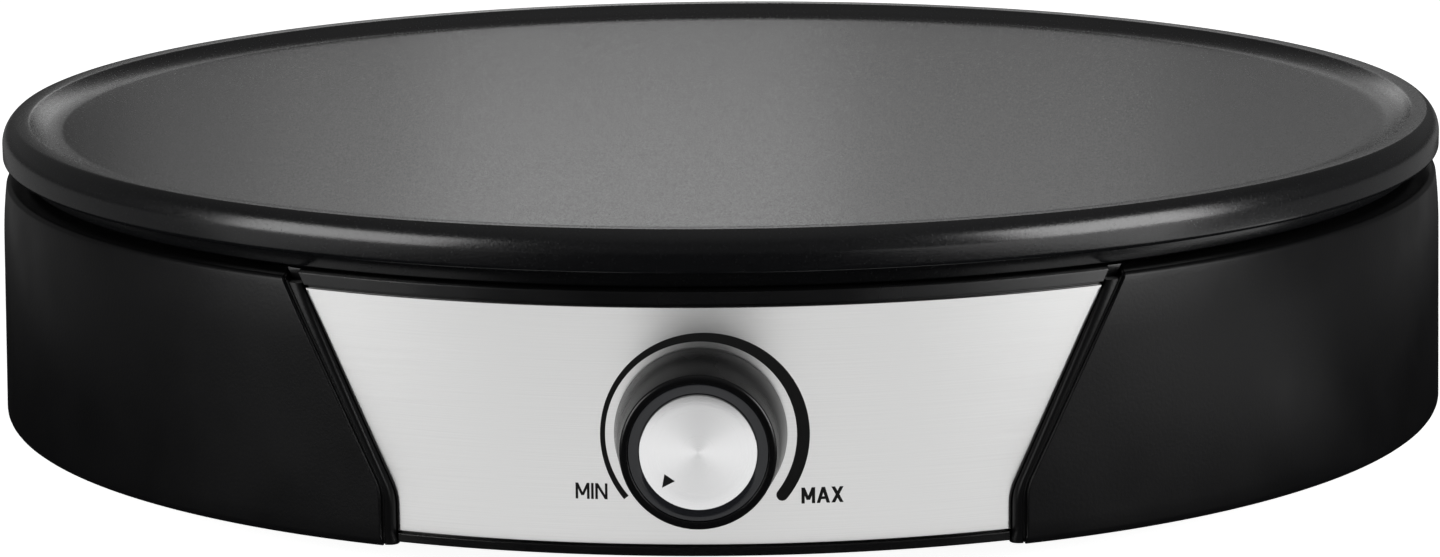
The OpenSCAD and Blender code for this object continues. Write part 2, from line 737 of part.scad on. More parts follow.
module fascia_frame() color("#17181a") placed() {
  difference() {
    union() {
      bay_wall(frame_r, groove_r, slip, lip_z, strip_top);
      bay_wall(groove_r - eps, back_r, 0.4, lip_z, strip_top, panel_form);
      bay_wall(groove_r - eps, strip_r, 0, strip_z, strip_top, panel_form);
      bay_wall(groove_r - eps, strip_r, 0, lip_z, lip_z + lip_h, panel_form);
      bay_wall(flange_r, frame_r + eps, slip, strip_top - wall, strip_top);
      bay_wall(ledge_r, frame_r + eps, slip, floor_z, floor_z + wall);
      bay_wall(frame_r - 0.5, groove_r - slip, -7, knob_z - 9, knob_z + 9);
      around(frame_screw_angles, cover_screw_r) translate([0, 0, floor_z + wall / 2])
        cylinder(d = tower_d, h = tower_h - wall / 2);
      intersection() {
        for (side = [-1, 1]) translate([side * bracket_screw_x, 0, 0])
          to_front(mount_y + bracket_t) cylinder(d = 8, h = 10);
        translate([0, 0, base_z]) cylinder(r = frame_r + 1, h = body_h, $fn = 180);
      }
    }
    to_front(mount_y) cylinder(d = shaft_hole, h = 20);
    for (side = [-1, 1]) translate([side * bracket_screw_x, 0, 0])
      to_front(mount_y + bracket_t - 1) cylinder(d = small_screw_d + 2 * screw_play, h = 5.6);
    tower_bores(frame_screw_angles);
  }
}

module fascia_panel() color("#c9cacb") placed() {
  difference() {
    bay_wall(fascia_r - panel_t, fascia_r, 0, lip_z + lip_h + lip_line, strip_z - strip_line, panel_form);
    to_front(mount_y) cylinder(d = shaft_hole, h = 20);
  }
}

// ---- base ----

// Straight slot with round ends along +X
module slot(l, w, h) {
  translate([0, -w / 2, 0]) cube([l, w, h]);
  for (x = [0, l]) translate([x, 0, 0]) cylinder(d = w, h = h, $fn = 24);
}

module base_cover() color("#202124") placed() {
  difference() {
    union() {
      translate([0, 0, cover_z]) difference() {
        cylinder(r = inner_r - slip, h = cover_t, $fn = 180);
        bay_wall(frame_r - slip, body_r, -1, -1, cover_t + 1);
      }
      ring(ledge_r - slip - rim_rib_t, ledge_r - slip, floor_z - eps, floor_z + 5);
      around(pillar_angles, pillar_r) {
        translate([0, 0, cover_z]) cylinder(d = pillar_d, h = shield_z - cover_z);
        for (turn = [0, 90]) rotate(turn) translate([-pillar_d / 2 - 4, -rib_t / 2, floor_z - eps])
          cube([pillar_d + 8, rib_t, 12]);
      }
    }
    around(pillar_angles, pillar_r) translate([0, 0, cover_z - 1]) {
      cylinder(d = plate_screw_d + 0.5, h = shield_z);
      cylinder(d = plate_head_d + 0.8, h = seat_z - cover_z + 1);
    }
    around(cover_screw_angles, cover_screw_r) translate([0, 0, cover_z - 1]) {
      cylinder(d = small_screw_d + 0.4, h = cover_t + 2);
      cylinder(d = recess_d, h = recess_h + 1);
    }
    around(foot_angles, foot_r) translate([0, 0, cover_z - 1])
      cylinder(r = foot_stem_r + seat, h = cover_t + 2);
    for (k = [0:vent_count - 1]) rotate(360 * (k + 0.5) / vent_count)
      translate([vent_r, 0, cover_z - 1]) slot(vent_l, vent_w, cover_t + 2);
    for (k = [0:vent_count / 2 - 1]) rotate(720 * k / vent_count)
      translate([inner_vent_r, 0, cover_z - 1]) slot(inner_vent_l, vent_w, cover_t + 2);
  }
}

module base_screws() color("#8f9194") placed() {
  around(cover_screw_angles, cover_screw_r) translate([0, 0, cover_z + recess_h])
    pan_screw(small_screw_d, cover_head_d, recess_h - 0.1, cover_t - recess_h + tower_h - 4);
}

module rubber_feet() color("#2a2a2b") placed() {
  around(foot_angles, foot_r) rotate_extrude() {
    square([foot_d / 2 - 1, cover_z]);
    translate([0, 1]) square([foot_d / 2, cover_z - 1]);
    translate([foot_d / 2 - 1, 1]) circle(r = 1);
    translate([0, cover_z - eps]) square([foot_stem_r, cover_t + 1]);
    translate([0, floor_z]) square([foot_head_r, foot_head_h]);
  }
}

module cord_gland() color("#131314") placed() {
  translate([0, 0, gland_z]) rotate([-90, 0, 0]) difference() {
    union() {
      translate([0, 0, gland_y]) cylinder(d = gland_flange_d, h = gland_out);
      translate([0, 0, gland_back]) cylinder(d = gland_neck_d, h = gland_y + eps - gland_back);
      translate([0, 0, gland_back]) cylinder(d = gland_collar_d, h = 2.6);
    }
    translate([0, 0, gland_back - 1]) cylinder(d = gland_bore, h = rear_reach + 2 - gland_back);
  }
}

// ---- thermostat ----

module thermostat_body() color("#c8b893") placed() {
  difference() {
    union() {
      translate([-thermostat_w / 2, -block_y, knob_z - thermostat_h / 2])
        cube([thermostat_w, thermostat_l, thermostat_h]);
      to_front(cup_back) cylinder(d = cup_d, h = cup_l + eps);
    }
    to_front(block_y - spindle_in) cylinder(d = spindle_d + 2 * run, h = spindle_in + 1);
  }
}

module thermostat_plate() color("#b9bbbd") placed() {
  difference() {
    union() {
      translate([-thermostat_w / 2 - 2, -mount_y, knob_z - thermostat_h / 2 + 2])
        cube([thermostat_w + 4, clamp_t, thermostat_h - 4]);
      to_front(mount_y - eps) cylinder(d = bush_d, h = bush_l);
    }
    to_front(block_y - 1) cylinder(d = spindle_d + 2 * run, h = clamp_t + bush_l + 2);
    for (side = [-1, 1]) translate([side * thermostat_screw_x, 0, 0])
      to_front(block_y - 1) cylinder(d = small_screw_d + 2 * screw_play, h = clamp_t + 2);
  }
}

module thermostat_terminals() color("#c9b06a") placed() {
  for (side = [-1, 1])
    translate([side * tab_x - tab_t / 2, -block_back, knob_z - tab_w / 2 - 4])
      cube([tab_t, tab_l, tab_w]);
}

module thermostat_bracket() color("#a7a9ab") placed() {
  half = bracket_screw_x + 6;
  low = thermostat_h / 2 + 3;
  difference() {
    translate([-half, -mount_y - bracket_t, knob_z - low]) cube([2 * half, bracket_t, 2 * low]);
    to_front(mount_y - 1) cylinder(d = bush_d + 0.4, h = bracket_t + 2);
    for (x = [-bracket_screw_x, -thermostat_screw_x, thermostat_screw_x, bracket_screw_x])
      translate([x, 0, 0]) to_front(mount_y - 1) cylinder(d = small_screw_d + 0.4, h = bracket_t + 2);
  }
}

module thermostat_screws() color("#8f9194") placed() {
  for (side = [-1, 1]) translate([side * thermostat_screw_x, -mount_y - bracket_t, knob_z])
    rotate([-90, 0, 0]) pan_screw(small_screw_d, small_head_d, small_head_h, bracket_t + clamp_t);
}

module bracket_screws() color("#8f9194") placed() {
  for (side = [-1, 1]) translate([side * bracket_screw_x, 0, 0])
    to_front(mount_y) pan_screw(small_screw_d, small_head_d, small_head_h, bracket_t + 4);
}

// ---- wiring ----

module terminal_block() color("#dcd8c8") placed() {
  difference() {
    translate([-block_w / 2, block_front, floor_z]) cube([block_w, block_l, block_h]);
    for (k = [-1:1]) translate([k * way_x, block_front, floor_z]) {
      translate([0, 4, block_h - 5]) cylinder(d = 4.2, h = 6);
      translate([0, block_l - 4, block_h - 5]) cylinder(d = 4.2, h = 6);
    }
  }
}

module terminal_screws() color("#c9b06a") placed() {
  for (k = [-1:1]) for (y = [4, block_l - 4])
    translate([k * way_x, block_front + y, floor_z + block_h - 5]) cylinder(d = 4, h = 3.4);
}

module earth_tag() color("#b9bbbd") placed() {
  translate([earth_at.x, earth_at.y, shield_z - tag_t]) difference() {
    union() {
      cylinder(d = 8, h = tag_t);
      translate([-2, 0, 0]) cube([4, 12, tag_t]);
    }
    translate([0, 0, -1]) cylinder(d = earth_screw_d + 0.2, h = 3);
  }
}

module earth_screw() color("#8f9194") placed() {
  translate([earth_at.x, earth_at.y, shield_z - tag_t])
    pan_screw(earth_screw_d, earth_head_d, earth_head_h, shield_t + tag_t + 3);
}

module lead_live() color("#6b4a2e") placed() {
  lead(concat([way(-1)], live_route, [thermostat_end(-1)]), lead_d, [0, -1, 0], [0, -1, 0]);
}

module lead_switched() color("#2b2b2c") placed() {
  lead(concat([thermostat_end(1)], switched_route, [fuse_end(1)]), lead_d, [0, 1, 0], [-1, 0, 0]);
}

module lead_heater() color("#2b2b2c") placed() {
  lead(concat([fuse_end(-1)], heater_route, [element_end(1)]), lead_d, [-1, 0, 0], [0, 0, 1]);
}

module lead_neutral() color("#34517c") placed() {
  lead(concat([way(1)], neutral_route, [element_end(-1)]), lead_d, [0, -1, 0], [0, 0, 1]);
}

module lead_earth() color("#5c7d3a") placed() {
  lead(concat([way(0)], earth_route, [earth_end]), lead_d, [0, -1, 0], [0, -1, 0]);
}

// ---- knob ----

module thermostat_spindle() color("#c4c6c8") placed() {
  difference() {
    to_front(block_y - spindle_in + 0.2)
      cylinder(d = spindle_d, h = fascia_r + spindle_end - block_y + spindle_in - 0.2);
    translate([-spindle_d, -fascia_r - knob_out, knob_z - spindle_d / 2 + spindle_flat])
      cube([2 * spindle_d, knob_out, spindle_d]);
  }
}

// Section of the knob: axis at x = 0, panel's face at y = 0, front upwards
module knob_section() {
  edge = 0.8;
  web = 2.4;
  floor_y = knob_out - pocket_d;
  difference() {
    union() {
      polygon([[0, knob_gap], [knob_r, knob_gap], [front_r, knob_out - edge], [0, knob_out - edge]]);
      translate([front_r - edge, knob_out - edge]) circle(r = edge);
      translate([0, knob_out - edge - eps]) square([front_r - edge, edge + eps]);
    }
    translate([0, floor_y]) square([pocket_r, pocket_d + 1]);
    polygon([[hub_d / 2, knob_gap - 1], [knob_r - knob_wall, knob_gap - 1],
      [front_r - knob_wall, floor_y - web], [hub_d / 2, floor_y - web]]);
  }
}

module knob_body() color("#141416") placed() {
  difference() {
    to_front(fascia_r) rotate_extrude($fn = 96) knob_section();
    difference() {
      to_front(fascia_r - 1) cylinder(d = spindle_d + 2 * run, h = spindle_end + 1.3);
      translate([-spindle_d, -fascia_r - knob_out, knob_z - spindle_d / 2 + spindle_flat + run])
        cube([2 * spindle_d, knob_out + 2, spindle_d]);
    }
  }
}

module knob_ring() color("#4a4e57") placed() {
  slope = 0.5;
  h = pocket_d - 0.3;
  to_front(fascia_r + knob_out - pocket_d) rotate_extrude($fn = 96)
    polygon([[cap_d / 2 + seat, 0], [ring_d / 2, 0], [ring_d / 2, h], [cap_d / 2 + seat, h - slope]]);
}

module knob_cap() color("#d2d3d4") placed() {
  to_front(fascia_r + knob_out - pocket_d) rotate_extrude($fn = 96) {
    square([cap_d / 2, pocket_d - 0.8]);
    translate([0, pocket_d - 0.8 - eps]) square([cap_d / 2 - 0.3, 0.3]);
  }
}

cooking_plate();
heating_element();
element_insulators();
element_terminals();
element_clamps();
element_clamp_screws();
sensor_bulb();
sensor_clip();
capillary_tube();
thermal_fuse();
fuse_clip();
clip_screws();
heat_shield();
plate_spacers();
plate_screws();
housing_shell();
fascia_frame();
fascia_panel();
base_cover();
base_screws();
rubber_feet();
cord_gland();
thermostat_body();
thermostat_plate();
thermostat_terminals();
thermostat_bracket();
thermostat_screws();
bracket_screws();
terminal_block();
terminal_screws();
earth_tag();
earth_screw();
lead_live();
lead_switched();
lead_heater();
lead_neutral();
lead_earth();
thermostat_spindle();
knob_body();
knob_ring();
knob_cap();
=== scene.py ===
"""Looks of the electric crepe maker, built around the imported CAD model.

Everything is in metres in the part's frame: +Z up, the knob towards -Y, the table at z = 0.
The big visible shells (plate, housing, fascia, knob) are modelled again here as finer meshes with
rounded edges. The rounded faces beside the panel and the prints are in this script alone. Every
other CAD piece keeps its own mesh and gets a material.
"""
import bmesh
import bpy
from math import asin, atan, atan2, cos, degrees, hypot, pi, radians, sin, sqrt, tan
from mathutils import Matrix, Vector
from mathutils.geometry import tessellate_polygon


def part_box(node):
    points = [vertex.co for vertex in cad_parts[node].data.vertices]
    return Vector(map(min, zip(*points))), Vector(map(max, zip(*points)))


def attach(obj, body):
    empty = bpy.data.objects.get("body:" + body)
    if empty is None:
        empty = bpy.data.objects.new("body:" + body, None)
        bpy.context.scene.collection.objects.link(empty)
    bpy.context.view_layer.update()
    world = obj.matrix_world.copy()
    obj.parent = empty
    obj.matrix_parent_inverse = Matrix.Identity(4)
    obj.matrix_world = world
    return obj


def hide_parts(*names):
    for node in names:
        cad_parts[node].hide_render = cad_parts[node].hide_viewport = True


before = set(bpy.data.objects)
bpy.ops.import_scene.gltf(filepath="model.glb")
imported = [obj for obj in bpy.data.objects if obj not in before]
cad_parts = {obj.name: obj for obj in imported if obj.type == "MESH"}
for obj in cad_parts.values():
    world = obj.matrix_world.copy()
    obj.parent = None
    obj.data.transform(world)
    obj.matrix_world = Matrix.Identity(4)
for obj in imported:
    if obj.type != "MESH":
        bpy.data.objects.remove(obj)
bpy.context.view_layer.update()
MM = 0.001
TINY = 1e-7                 # points closer than this are one point
SHARP = radians(40)         # faces that meet at more than this keep a hard edge

# ---- main places ----

# corners of CAD nodes, read from the frame
PLATE_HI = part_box("cooking_plate")[1]
SHELL_LO, SHELL_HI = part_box("housing_shell")
PANEL_LO, PANEL_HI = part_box("fascia_panel")
KNOB_LO, KNOB_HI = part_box("knob_body")
RING_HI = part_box("knob_ring")[1]
AXIS_Y = 5.888 * MM         # the plate's axis in the part's frame
PLATE_R = 160 * MM          # the rim's outer face
RIM_RISE = 2.65 * MM        # the rim's crest above the flat surface
BODY_R = 160.3 * MM         # the housing where its crown begins
PANEL_R = 157.5 * MM        # the steel panel's face
CREST_Z = PLATE_HI.z
SURFACE_Z = CREST_Z - RIM_RISE
BASE_Z = SHELL_LO.z
TOP_Z = SHELL_HI.z
KNOB_Z = (KNOB_LO.z + KNOB_HI.z) / 2


# ---- camera ----

CAMERA_DISTANCE = 1093.44 * MM
CAMERA_ELEVATION = radians(9.306)
CAMERA_AZIMUTH = radians(1.6)
CAMERA_ROLL = radians(-0.552)
CLIP_START = 50 * MM
LENS = 121.46               # lens and sensor are in millimetres, as Blender counts them
SENSOR_WIDTH = 36
AIM_X = -0.432 * MM
AIM_DROP = 38.483 * MM      # the camera looks this far below the flat surface


def make_camera():
    """The photo's camera, fitted to the rim, the crease, the housing and the panel."""
    data = bpy.data.cameras.new("camera")
    data.lens = LENS
    data.sensor_width = SENSOR_WIDTH
    data.clip_start = CLIP_START
    camera = bpy.data.objects.new("camera", data)
    bpy.context.scene.collection.objects.link(camera)
    flat = CAMERA_DISTANCE * cos(CAMERA_ELEVATION)
    place = Vector((
        flat * sin(CAMERA_AZIMUTH),
        AXIS_Y - flat * cos(CAMERA_AZIMUTH),
        SURFACE_Z + CAMERA_DISTANCE * sin(CAMERA_ELEVATION),
    ))
    aim = Vector((AIM_X, AXIS_Y, SURFACE_Z - AIM_DROP))
    look = (aim - place).to_track_quat("-Z", "Y").to_matrix().to_4x4()
    camera.matrix_world = Matrix.Translation(place) @ look @ Matrix.Rotation(CAMERA_ROLL, 4, "Z")
    bpy.context.scene.camera = camera


make_camera()


# ---- materials ----

NOISE_SPAN = (0.3, 0.7)     # most values of a noise texture lie between these
NOISE_ROUGHNESS = 0.55
BEVEL_SAMPLES = 4
GRAIN_MAP = "grain"         # UV map of a brushed sheet: u across its lines, v along them


class Paint:
    """A Principled material with short calls for the nodes that feed it."""

    def __init__(self, name, colour, rough, metal=0.0, **sockets):
        self.material = bpy.data.materials.new(name)
        self.material.use_nodes = True
        self.tree = self.material.node_tree
        self.shader = self.tree.nodes["Principled BSDF"]
        self.colour = (*colour, 1.0)
        self.rough = rough
        self.shader.inputs["Base Color"].default_value = self.colour
        self.shader.inputs["Roughness"].default_value = rough
        self.shader.inputs["Metallic"].default_value = metal
        for socket, value in sockets.items():
            self.shader.inputs[socket.replace("_", " ")].default_value = value
        self.normal = None

    def node(self, kind, **values):
        """A shader node; each value goes to its property or to its input of that name."""
        made = self.tree.nodes.new("ShaderNode" + kind)
        for key, value in values.items():
            if hasattr(made, key):
                setattr(made, key, value)
            else:
                made.inputs[key.replace("_", " ")].default_value = value
        return made

    def link(self, start, end):
        self.tree.links.new(start, end)

    def noise(self, scale, detail=3.0, stretch=(1, 1, 1), source="Object"):
        """Noise with scale grains to the metre, made finer along each axis by stretch."""
        position = self.node("TexCoord")
        mapping = self.node("Mapping")
        mapping.inputs["Scale"].default_value = stretch
        made = self.node("TexNoise", Scale=scale, Detail=detail, Roughness=NOISE_ROUGHNESS)
        self.link(position.outputs[source], mapping.inputs["Vector"])
        self.link(mapping.outputs["Vector"], made.inputs["Vector"])
        return made.outputs["Fac"]

    def vary_rough(self, fac, amount):
        """Lets the roughness go up and down by amount with a noise value."""
        start, end = NOISE_SPAN
        low, high = self.rough - amount, self.rough + amount
        made = self.node("MapRange", From_Min=start, From_Max=end, To_Min=low, To_Max=high)
        self.link(fac, made.inputs["Value"])
        self.link(made.outputs["Result"], self.shader.inputs["Roughness"])

    def vary_colour(self, fac, low, high):
        """Mixes two multiples of the base colour by a noise value."""
        ramp = self.node("ValToRGB")
        for element, position, share in zip(ramp.color_ramp.elements, NOISE_SPAN, (low, high)):
            element.position = position
            element.color = (*(min(c * share, 1.0) for c in self.colour[:3]), 1.0)
        self.link(fac, ramp.inputs["Fac"])
        self.link(ramp.outputs["Color"], self.shader.inputs["Base Color"])

    def bump(self, fac, distance, strength):
        """Raises the surface by a noise value, over what soften gave."""
        made = self.node("Bump", Strength=strength, Distance=distance)
        self.link(fac, made.inputs["Height"])
        if self.normal is not None:
            self.link(self.normal, made.inputs["Normal"])
        self.normal = made.outputs["Normal"]
        self.link(self.normal, self.shader.inputs["Normal"])

    def soften(self, radius):
        """Rounds the sharp edges of a CAD mesh in the shading."""
        made = self.node("Bevel", Radius=radius)
        made.samples = BEVEL_SAMPLES
        self.normal = made.outputs["Normal"]
        self.link(self.normal, self.shader.inputs["Normal"])


def coated_plate():
    """Black non-stick coating on cast aluminium: satin, with a fine grain."""
    paint = Paint("plate_coating", (0.0020, 0.0021, 0.0024), 0.22)
    paint.vary_rough(paint.noise(2000, 3.0), 0.06)
    paint.vary_colour(paint.noise(1500, 4.0), 0.75, 1.35)
    paint.bump(paint.noise(2600, 2.0), 0.03 * MM, 0.6)
    return paint.material


def moulded_plastic(name, colour, rough, edge=None, grain=1500, depth=0.04 * MM, shine=0.15):
    """Moulded plastic with a fine texture."""
    paint = Paint(name, colour, rough, Specular_IOR_Level=shine)
    if edge:
        paint.soften(edge)
    paint.vary_rough(paint.noise(60, 2.0), 0.04)
    paint.vary_colour(paint.noise(40, 3.0), 0.9, 1.12)
    paint.bump(paint.noise(grain, 2.0), depth, 0.6)
    return paint.material


def brushed_sheet(name, colour, rough, stretch, anisotropy):
    """Brushed steel: fine lines along v of the grain map, and highlights drawn out across them."""
    paint = Paint(name, colour, rough, 1.0, Anisotropic=anisotropy)
    lines = paint.noise(1.0, 3.0, stretch, "UV")
    paint.vary_rough(lines, 0.05)
    paint.vary_colour(lines, 0.93, 1.04)
    paint.bump(lines, 0.006 * MM, 0.3)
    tangent = paint.node("Tangent", direction_type="UV_MAP", uv_map=GRAIN_MAP)
    paint.link(tangent.outputs["Tangent"], paint.shader.inputs["Tangent"])
    return paint.material


def glossy_ring():
    """Dark polished plastic round the cap."""
    paint = Paint("ring_gloss", (0.0065, 0.007, 0.0085), 0.12, IOR=1.5, Specular_IOR_Level=0.32)
    paint.vary_rough(paint.noise(300, 2.0), 0.03)
    paint.vary_colour(paint.noise(120, 2.0), 0.9, 1.1)
    return paint.material


def ink():
    """Black ink of the prints."""
    paint = Paint("print_ink", (0.003, 0.003, 0.003), 0.5, Specular_IOR_Level=0.3)
    paint.vary_rough(paint.noise(2000, 2.0), 0.05)
    paint.vary_colour(paint.noise(900, 2.0), 0.85, 1.15)
    return paint.material


def worn_metal(name, colour, rough, edge=0.15 * MM, stains=500):
    """Plated or bare metal of a small inner part, slightly stained."""
    paint = Paint(name, colour, rough, 1.0)
    paint.soften(edge)
    paint.vary_rough(paint.noise(stains, 4.0), 0.10)
    paint.vary_colour(paint.noise(stains / 3, 3.0), 0.82, 1.08)
    paint.bump(paint.noise(stains * 4, 2.0), 0.02 * MM, 0.3)
    return paint.material


def dull_solid(name, colour, rough, grain=800, depth=0.04 * MM, edge=0.2 * MM):
    """Ceramic, nylon, glass sleeve or silicone: a plain solid with a fine surface."""
    paint = Paint(name, colour, rough)
    paint.soften(edge)
    paint.vary_colour(paint.noise(grain / 4, 3.0), 0.88, 1.08)
    paint.vary_rough(paint.noise(grain / 2, 2.0), 0.06)
    paint.bump(paint.noise(grain, 2.0), depth, 0.5)
    return paint.material


# ---- mesh helpers ----

def arc(centre, radius, start, end, steps):
    """Points along an arc in a section plane, angles in degrees."""
    turns = [radians(start + (end - start) * k / steps) for k in range(steps + 1)]
    return [(centre[0] + radius * cos(a), centre[1] + radius * sin(a)) for a in turns]


def new_object(name, points, faces, material):
    """A smooth mesh object in the scene."""
    mesh = bpy.data.meshes.new(name)
    mesh.from_pydata([tuple(p) for p in points], [], faces)
    mesh.validate()
    mesh.materials.append(material)
    for polygon in mesh.polygons:
        polygon.use_smooth = True
    mesh.set_sharp_from_angle(angle=SHARP)
    made = bpy.data.objects.new(name, mesh)
    bpy.context.scene.collection.objects.link(made)
    return made


def mend_mesh(made):
    """Joins points that coincide and turns all faces outwards."""
    work = bmesh.new()
    work.from_mesh(made.data)
    bmesh.ops.remove_doubles(work, verts=work.verts, dist=TINY)
    bmesh.ops.recalc_face_normals(work, faces=work.faces)
    work.to_mesh(made.data)
    work.free()
    made.data.set_sharp_from_angle(angle=SHARP)


def lathe(name, section, place, material, columns):
    """Closed solid of revolution. section is a list of (radius, height) that starts and ends on the
    axis or closes on itself; place(radius, angle, height) gives the point."""
    points = []
    rows = []
    for radius, height in section:
        if radius < TINY:
            rows.append([len(points)] * columns)
            points.append(place(0, 0, height))
        else:
            rows.append(list(range(len(points), len(points) + columns)))
            points.extend(place(radius, 2 * pi * k / columns, height) for k in range(columns))
    is_ring = section[0][0] > TINY
    faces = []
    for j in range(len(rows) if is_ring else len(rows) - 1):
        low, high = rows[j], rows[(j + 1) % len(rows)]
        for k in range(columns):
            n = (k + 1) % columns
            corners = [low[k], low[n], high[n], high[k]]
            faces.append([c for i, c in enumerate(corners) if c not in corners[:i]])
    return new_object(name, points, faces, material)


def upright(radius, angle, height):
    """A lathe about the plate's axis."""
    return Vector((radius * cos(angle), AXIS_Y + radius * sin(angle), height))


def forward(radius, angle, height):
    """A lathe about the knob's axis; height is measured forward from the panel's face."""
    return Vector((radius * cos(angle), AXIS_Y - PANEL_R - height, KNOB_Z + radius * sin(angle)))


def stand_for(piece, body, node):
    """The piece moves with body and is shown in place of a CAD node."""
    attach(piece, body)
    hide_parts(node)


def add_detail(name, points, faces, material, body):
    """A piece that no CAD node stands for; it moves with body and has the given material."""
    piece = new_object(name, points, faces, material)
    mend_mesh(piece)
    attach(piece, body)


# ---- plate ----

PLATE_COLUMNS = 480
SURFACE_RINGS = (0, 40 * MM, 80 * MM, 120 * MM)     # points of the flat surface, from the axis
CREASE_RINGS = (6 * MM, 0.4 * MM)                   # and the last ones, inwards from the crease
UNDER_RING = 60 * MM
RIM_ROUND = 5.8 * MM        # the rim's outer round
RIM_BELLY = 2.2 * MM        # the rim is widest this far below the flat surface
RIM_DROP = 5.8 * MM         # and ends this far below it
RIM_CORNER = 1.0 * MM
RIM_W = 13.2 * MM           # from the crease to the rim's outer face
CREST_R = 1.0 * MM          # the crest's outer corner
LAND_R = 40 * MM            # the crest's top is a narrow, nearly level land
LAND_TILT = 4               # its tilt at the inner end, in degrees
LAND_BLEND = 1.2 * MM       # rounding between the land and the cove
COVE_TILT = 4               # the slope in which the cove leaves the crease, in degrees
CREASE_R = PLATE_R - RIM_W
SKIRT_INSET = 4.6 * MM      # from the rim's outer face in to the skirt
SKIRT_R = PLATE_R - SKIRT_INSET
SKIRT_T = 3 * MM
SKIRT_DROP = 3.5 * MM       # how far it hangs below the rim
SKIRT_DRAFT = 0.5 * MM      # how much its outer radius shrinks towards its lower edge
SKIRT_FILLET = 0.5 * MM     # between the rim's underside and the skirt
SKIRT_EDGE = 0.4 * MM       # rounding of the skirt's lower edge
PLATE_T = 5 * MM


def plate_section():
    """Top surface, crease, cove, land, crest, outer round, rim, skirt and underside."""
    out = Vector((PLATE_R - RIM_ROUND, SURFACE_Z - RIM_BELLY))
    crest_y = CREST_Z - CREST_R
    reach = RIM_ROUND - CREST_R
    crest = Vector((out.x + sqrt(reach ** 2 - (crest_y - out.y) ** 2), crest_y))
    land = Vector((crest.x, CREST_Z - LAND_R))
    lean = radians(90 + LAND_TILT)
    blend = land + (LAND_R - LAND_BLEND) * Vector((cos(lean), sin(lean)))
    crease = Vector((CREASE_R, SURFACE_Z))
    # the cove touches its slope at the crease and the blend's circle at the other end
    slope = radians(COVE_TILT)
    cove_normal = Vector((-sin(slope), cos(slope)))
    gap = crease - blend
    cove_r = (gap.dot(gap) - LAND_BLEND ** 2) / (2 * (LAND_BLEND - gap.dot(cove_normal)))
    cove = crease + cove_r * cove_normal
    cove_start = degrees(atan2(crease.y - cove.y, crease.x - cove.x))
    cove_end = degrees(atan2(blend.y - cove.y, blend.x - cove.x))
    crest_out = degrees(atan2(crest.y - out.y, crest.x - out.x))
    rim_z = SURFACE_Z - RIM_DROP
    rim_corner = (PLATE_R - RIM_CORNER, rim_z + RIM_CORNER)
    fillet = (SKIRT_R + SKIRT_FILLET, rim_z - SKIRT_FILLET)
    low = rim_z - SKIRT_DROP + SKIRT_EDGE
    under = SURFACE_Z - PLATE_T
    section = [(radius, SURFACE_Z) for radius in SURFACE_RINGS]
    section += [(CREASE_R - inset, SURFACE_Z) for inset in CREASE_RINGS]
    section += arc(cove, cove_r, cove_start, cove_end, steps=24)
    section += arc(blend, LAND_BLEND, cove_end + 180, 90 + LAND_TILT, steps=8)[1:]
    section += arc(land, LAND_R, 90 + LAND_TILT, 90, steps=6)[1:]
    section += arc(crest, CREST_R, 90, crest_out, steps=8)[1:]
    section += arc(out, RIM_ROUND, crest_out, 0, steps=24)[1:]
    section += arc(rim_corner, RIM_CORNER, 0, -90, steps=8)
    section += arc(fillet, SKIRT_FILLET, 90, 180, steps=4)
    section += arc((SKIRT_R - SKIRT_DRAFT - SKIRT_EDGE, low), SKIRT_EDGE, 0, -90, steps=4)
    section += arc((SKIRT_R - SKIRT_T + SKIRT_EDGE, low), SKIRT_EDGE, -90, -180, steps=4)
    section += [(radius, under) for radius in (SKIRT_R - SKIRT_T, CREASE_R, UNDER_RING, 0)]
    return section


def make_plate():
    """The cast plate, turned from its section."""
    plate = lathe("cooking_plate_cast", plate_section(), upright, coated_plate(), PLATE_COLUMNS)
    stand_for(plate, "base", "cooking_plate")


# ---- housing ----

WALL = 2.5 * MM
TOP_EDGE = 1.2 * MM         # rounding of the wall's upper edge
BASE_EDGE = 1.8 * MM        # and of its foot
CROWN_H = 12.2 * MM         # the wall is crowned over this height, and flared below it
CROWN_Z = TOP_Z - CROWN_H
CROWN_R = 100 * MM
FLARE_OUT = 0.75 * MM       # how much the wall's radius grows from the crown down to the foot
FLARE = atan(FLARE_OUT / (CROWN_Z - BASE_Z))
CROWN_C = (BODY_R - CROWN_R * cos(FLARE), CROWN_Z - CROWN_R * sin(FLARE))
EDGE_Z = TOP_Z - TOP_EDGE
EDGE_C = (CROWN_C[0] + sqrt((CROWN_R - TOP_EDGE) ** 2 - (EDGE_Z - CROWN_C[1]) ** 2), EDGE_Z)
EDGE_TURN = atan2(EDGE_C[1] - CROWN_C[1], EDGE_C[0] - CROWN_C[0])
BASE_C = (
    BODY_R + (CROWN_Z - BASE_Z - BASE_EDGE) * tan(FLARE) - BASE_EDGE / cos(FLARE),
    BASE_Z + BASE_EDGE,
)
FLANGE_W = 10 * MM          # how far the top reaches in from the wall's outside
FLANGE_R = BODY_R - FLANGE_W
FLANGE_ROUND = 0.5 * MM     # the flange's inner edge is broken by a round in two steps
FLANGE_MIDDLE = 0.15 * MM
INNER_R = BODY_R - WALL
INNER_GAP = 0.5 * MM        # from the flange's underside to the first row of the inner wall
LEDGE_W = 14 * MM           # how far the ledge reaches in from the wall's inside
LEDGE_R = INNER_R - LEDGE_W
LEDGE_RISE = 2.6 * MM       # its underside above the housing's foot
LEDGE_Z = BASE_Z + LEDGE_RISE
RETURN_R = 155.25 * MM      # the wall behind the bay's edge reaches in to here
RETURN_T = 2 * MM
RETURN_COLUMNS = 3          # columns of points that make it
WALL_BANDS = 40
BACK_COLUMNS = 260
BASE_STEPS = 6
TOP_STEPS = 8
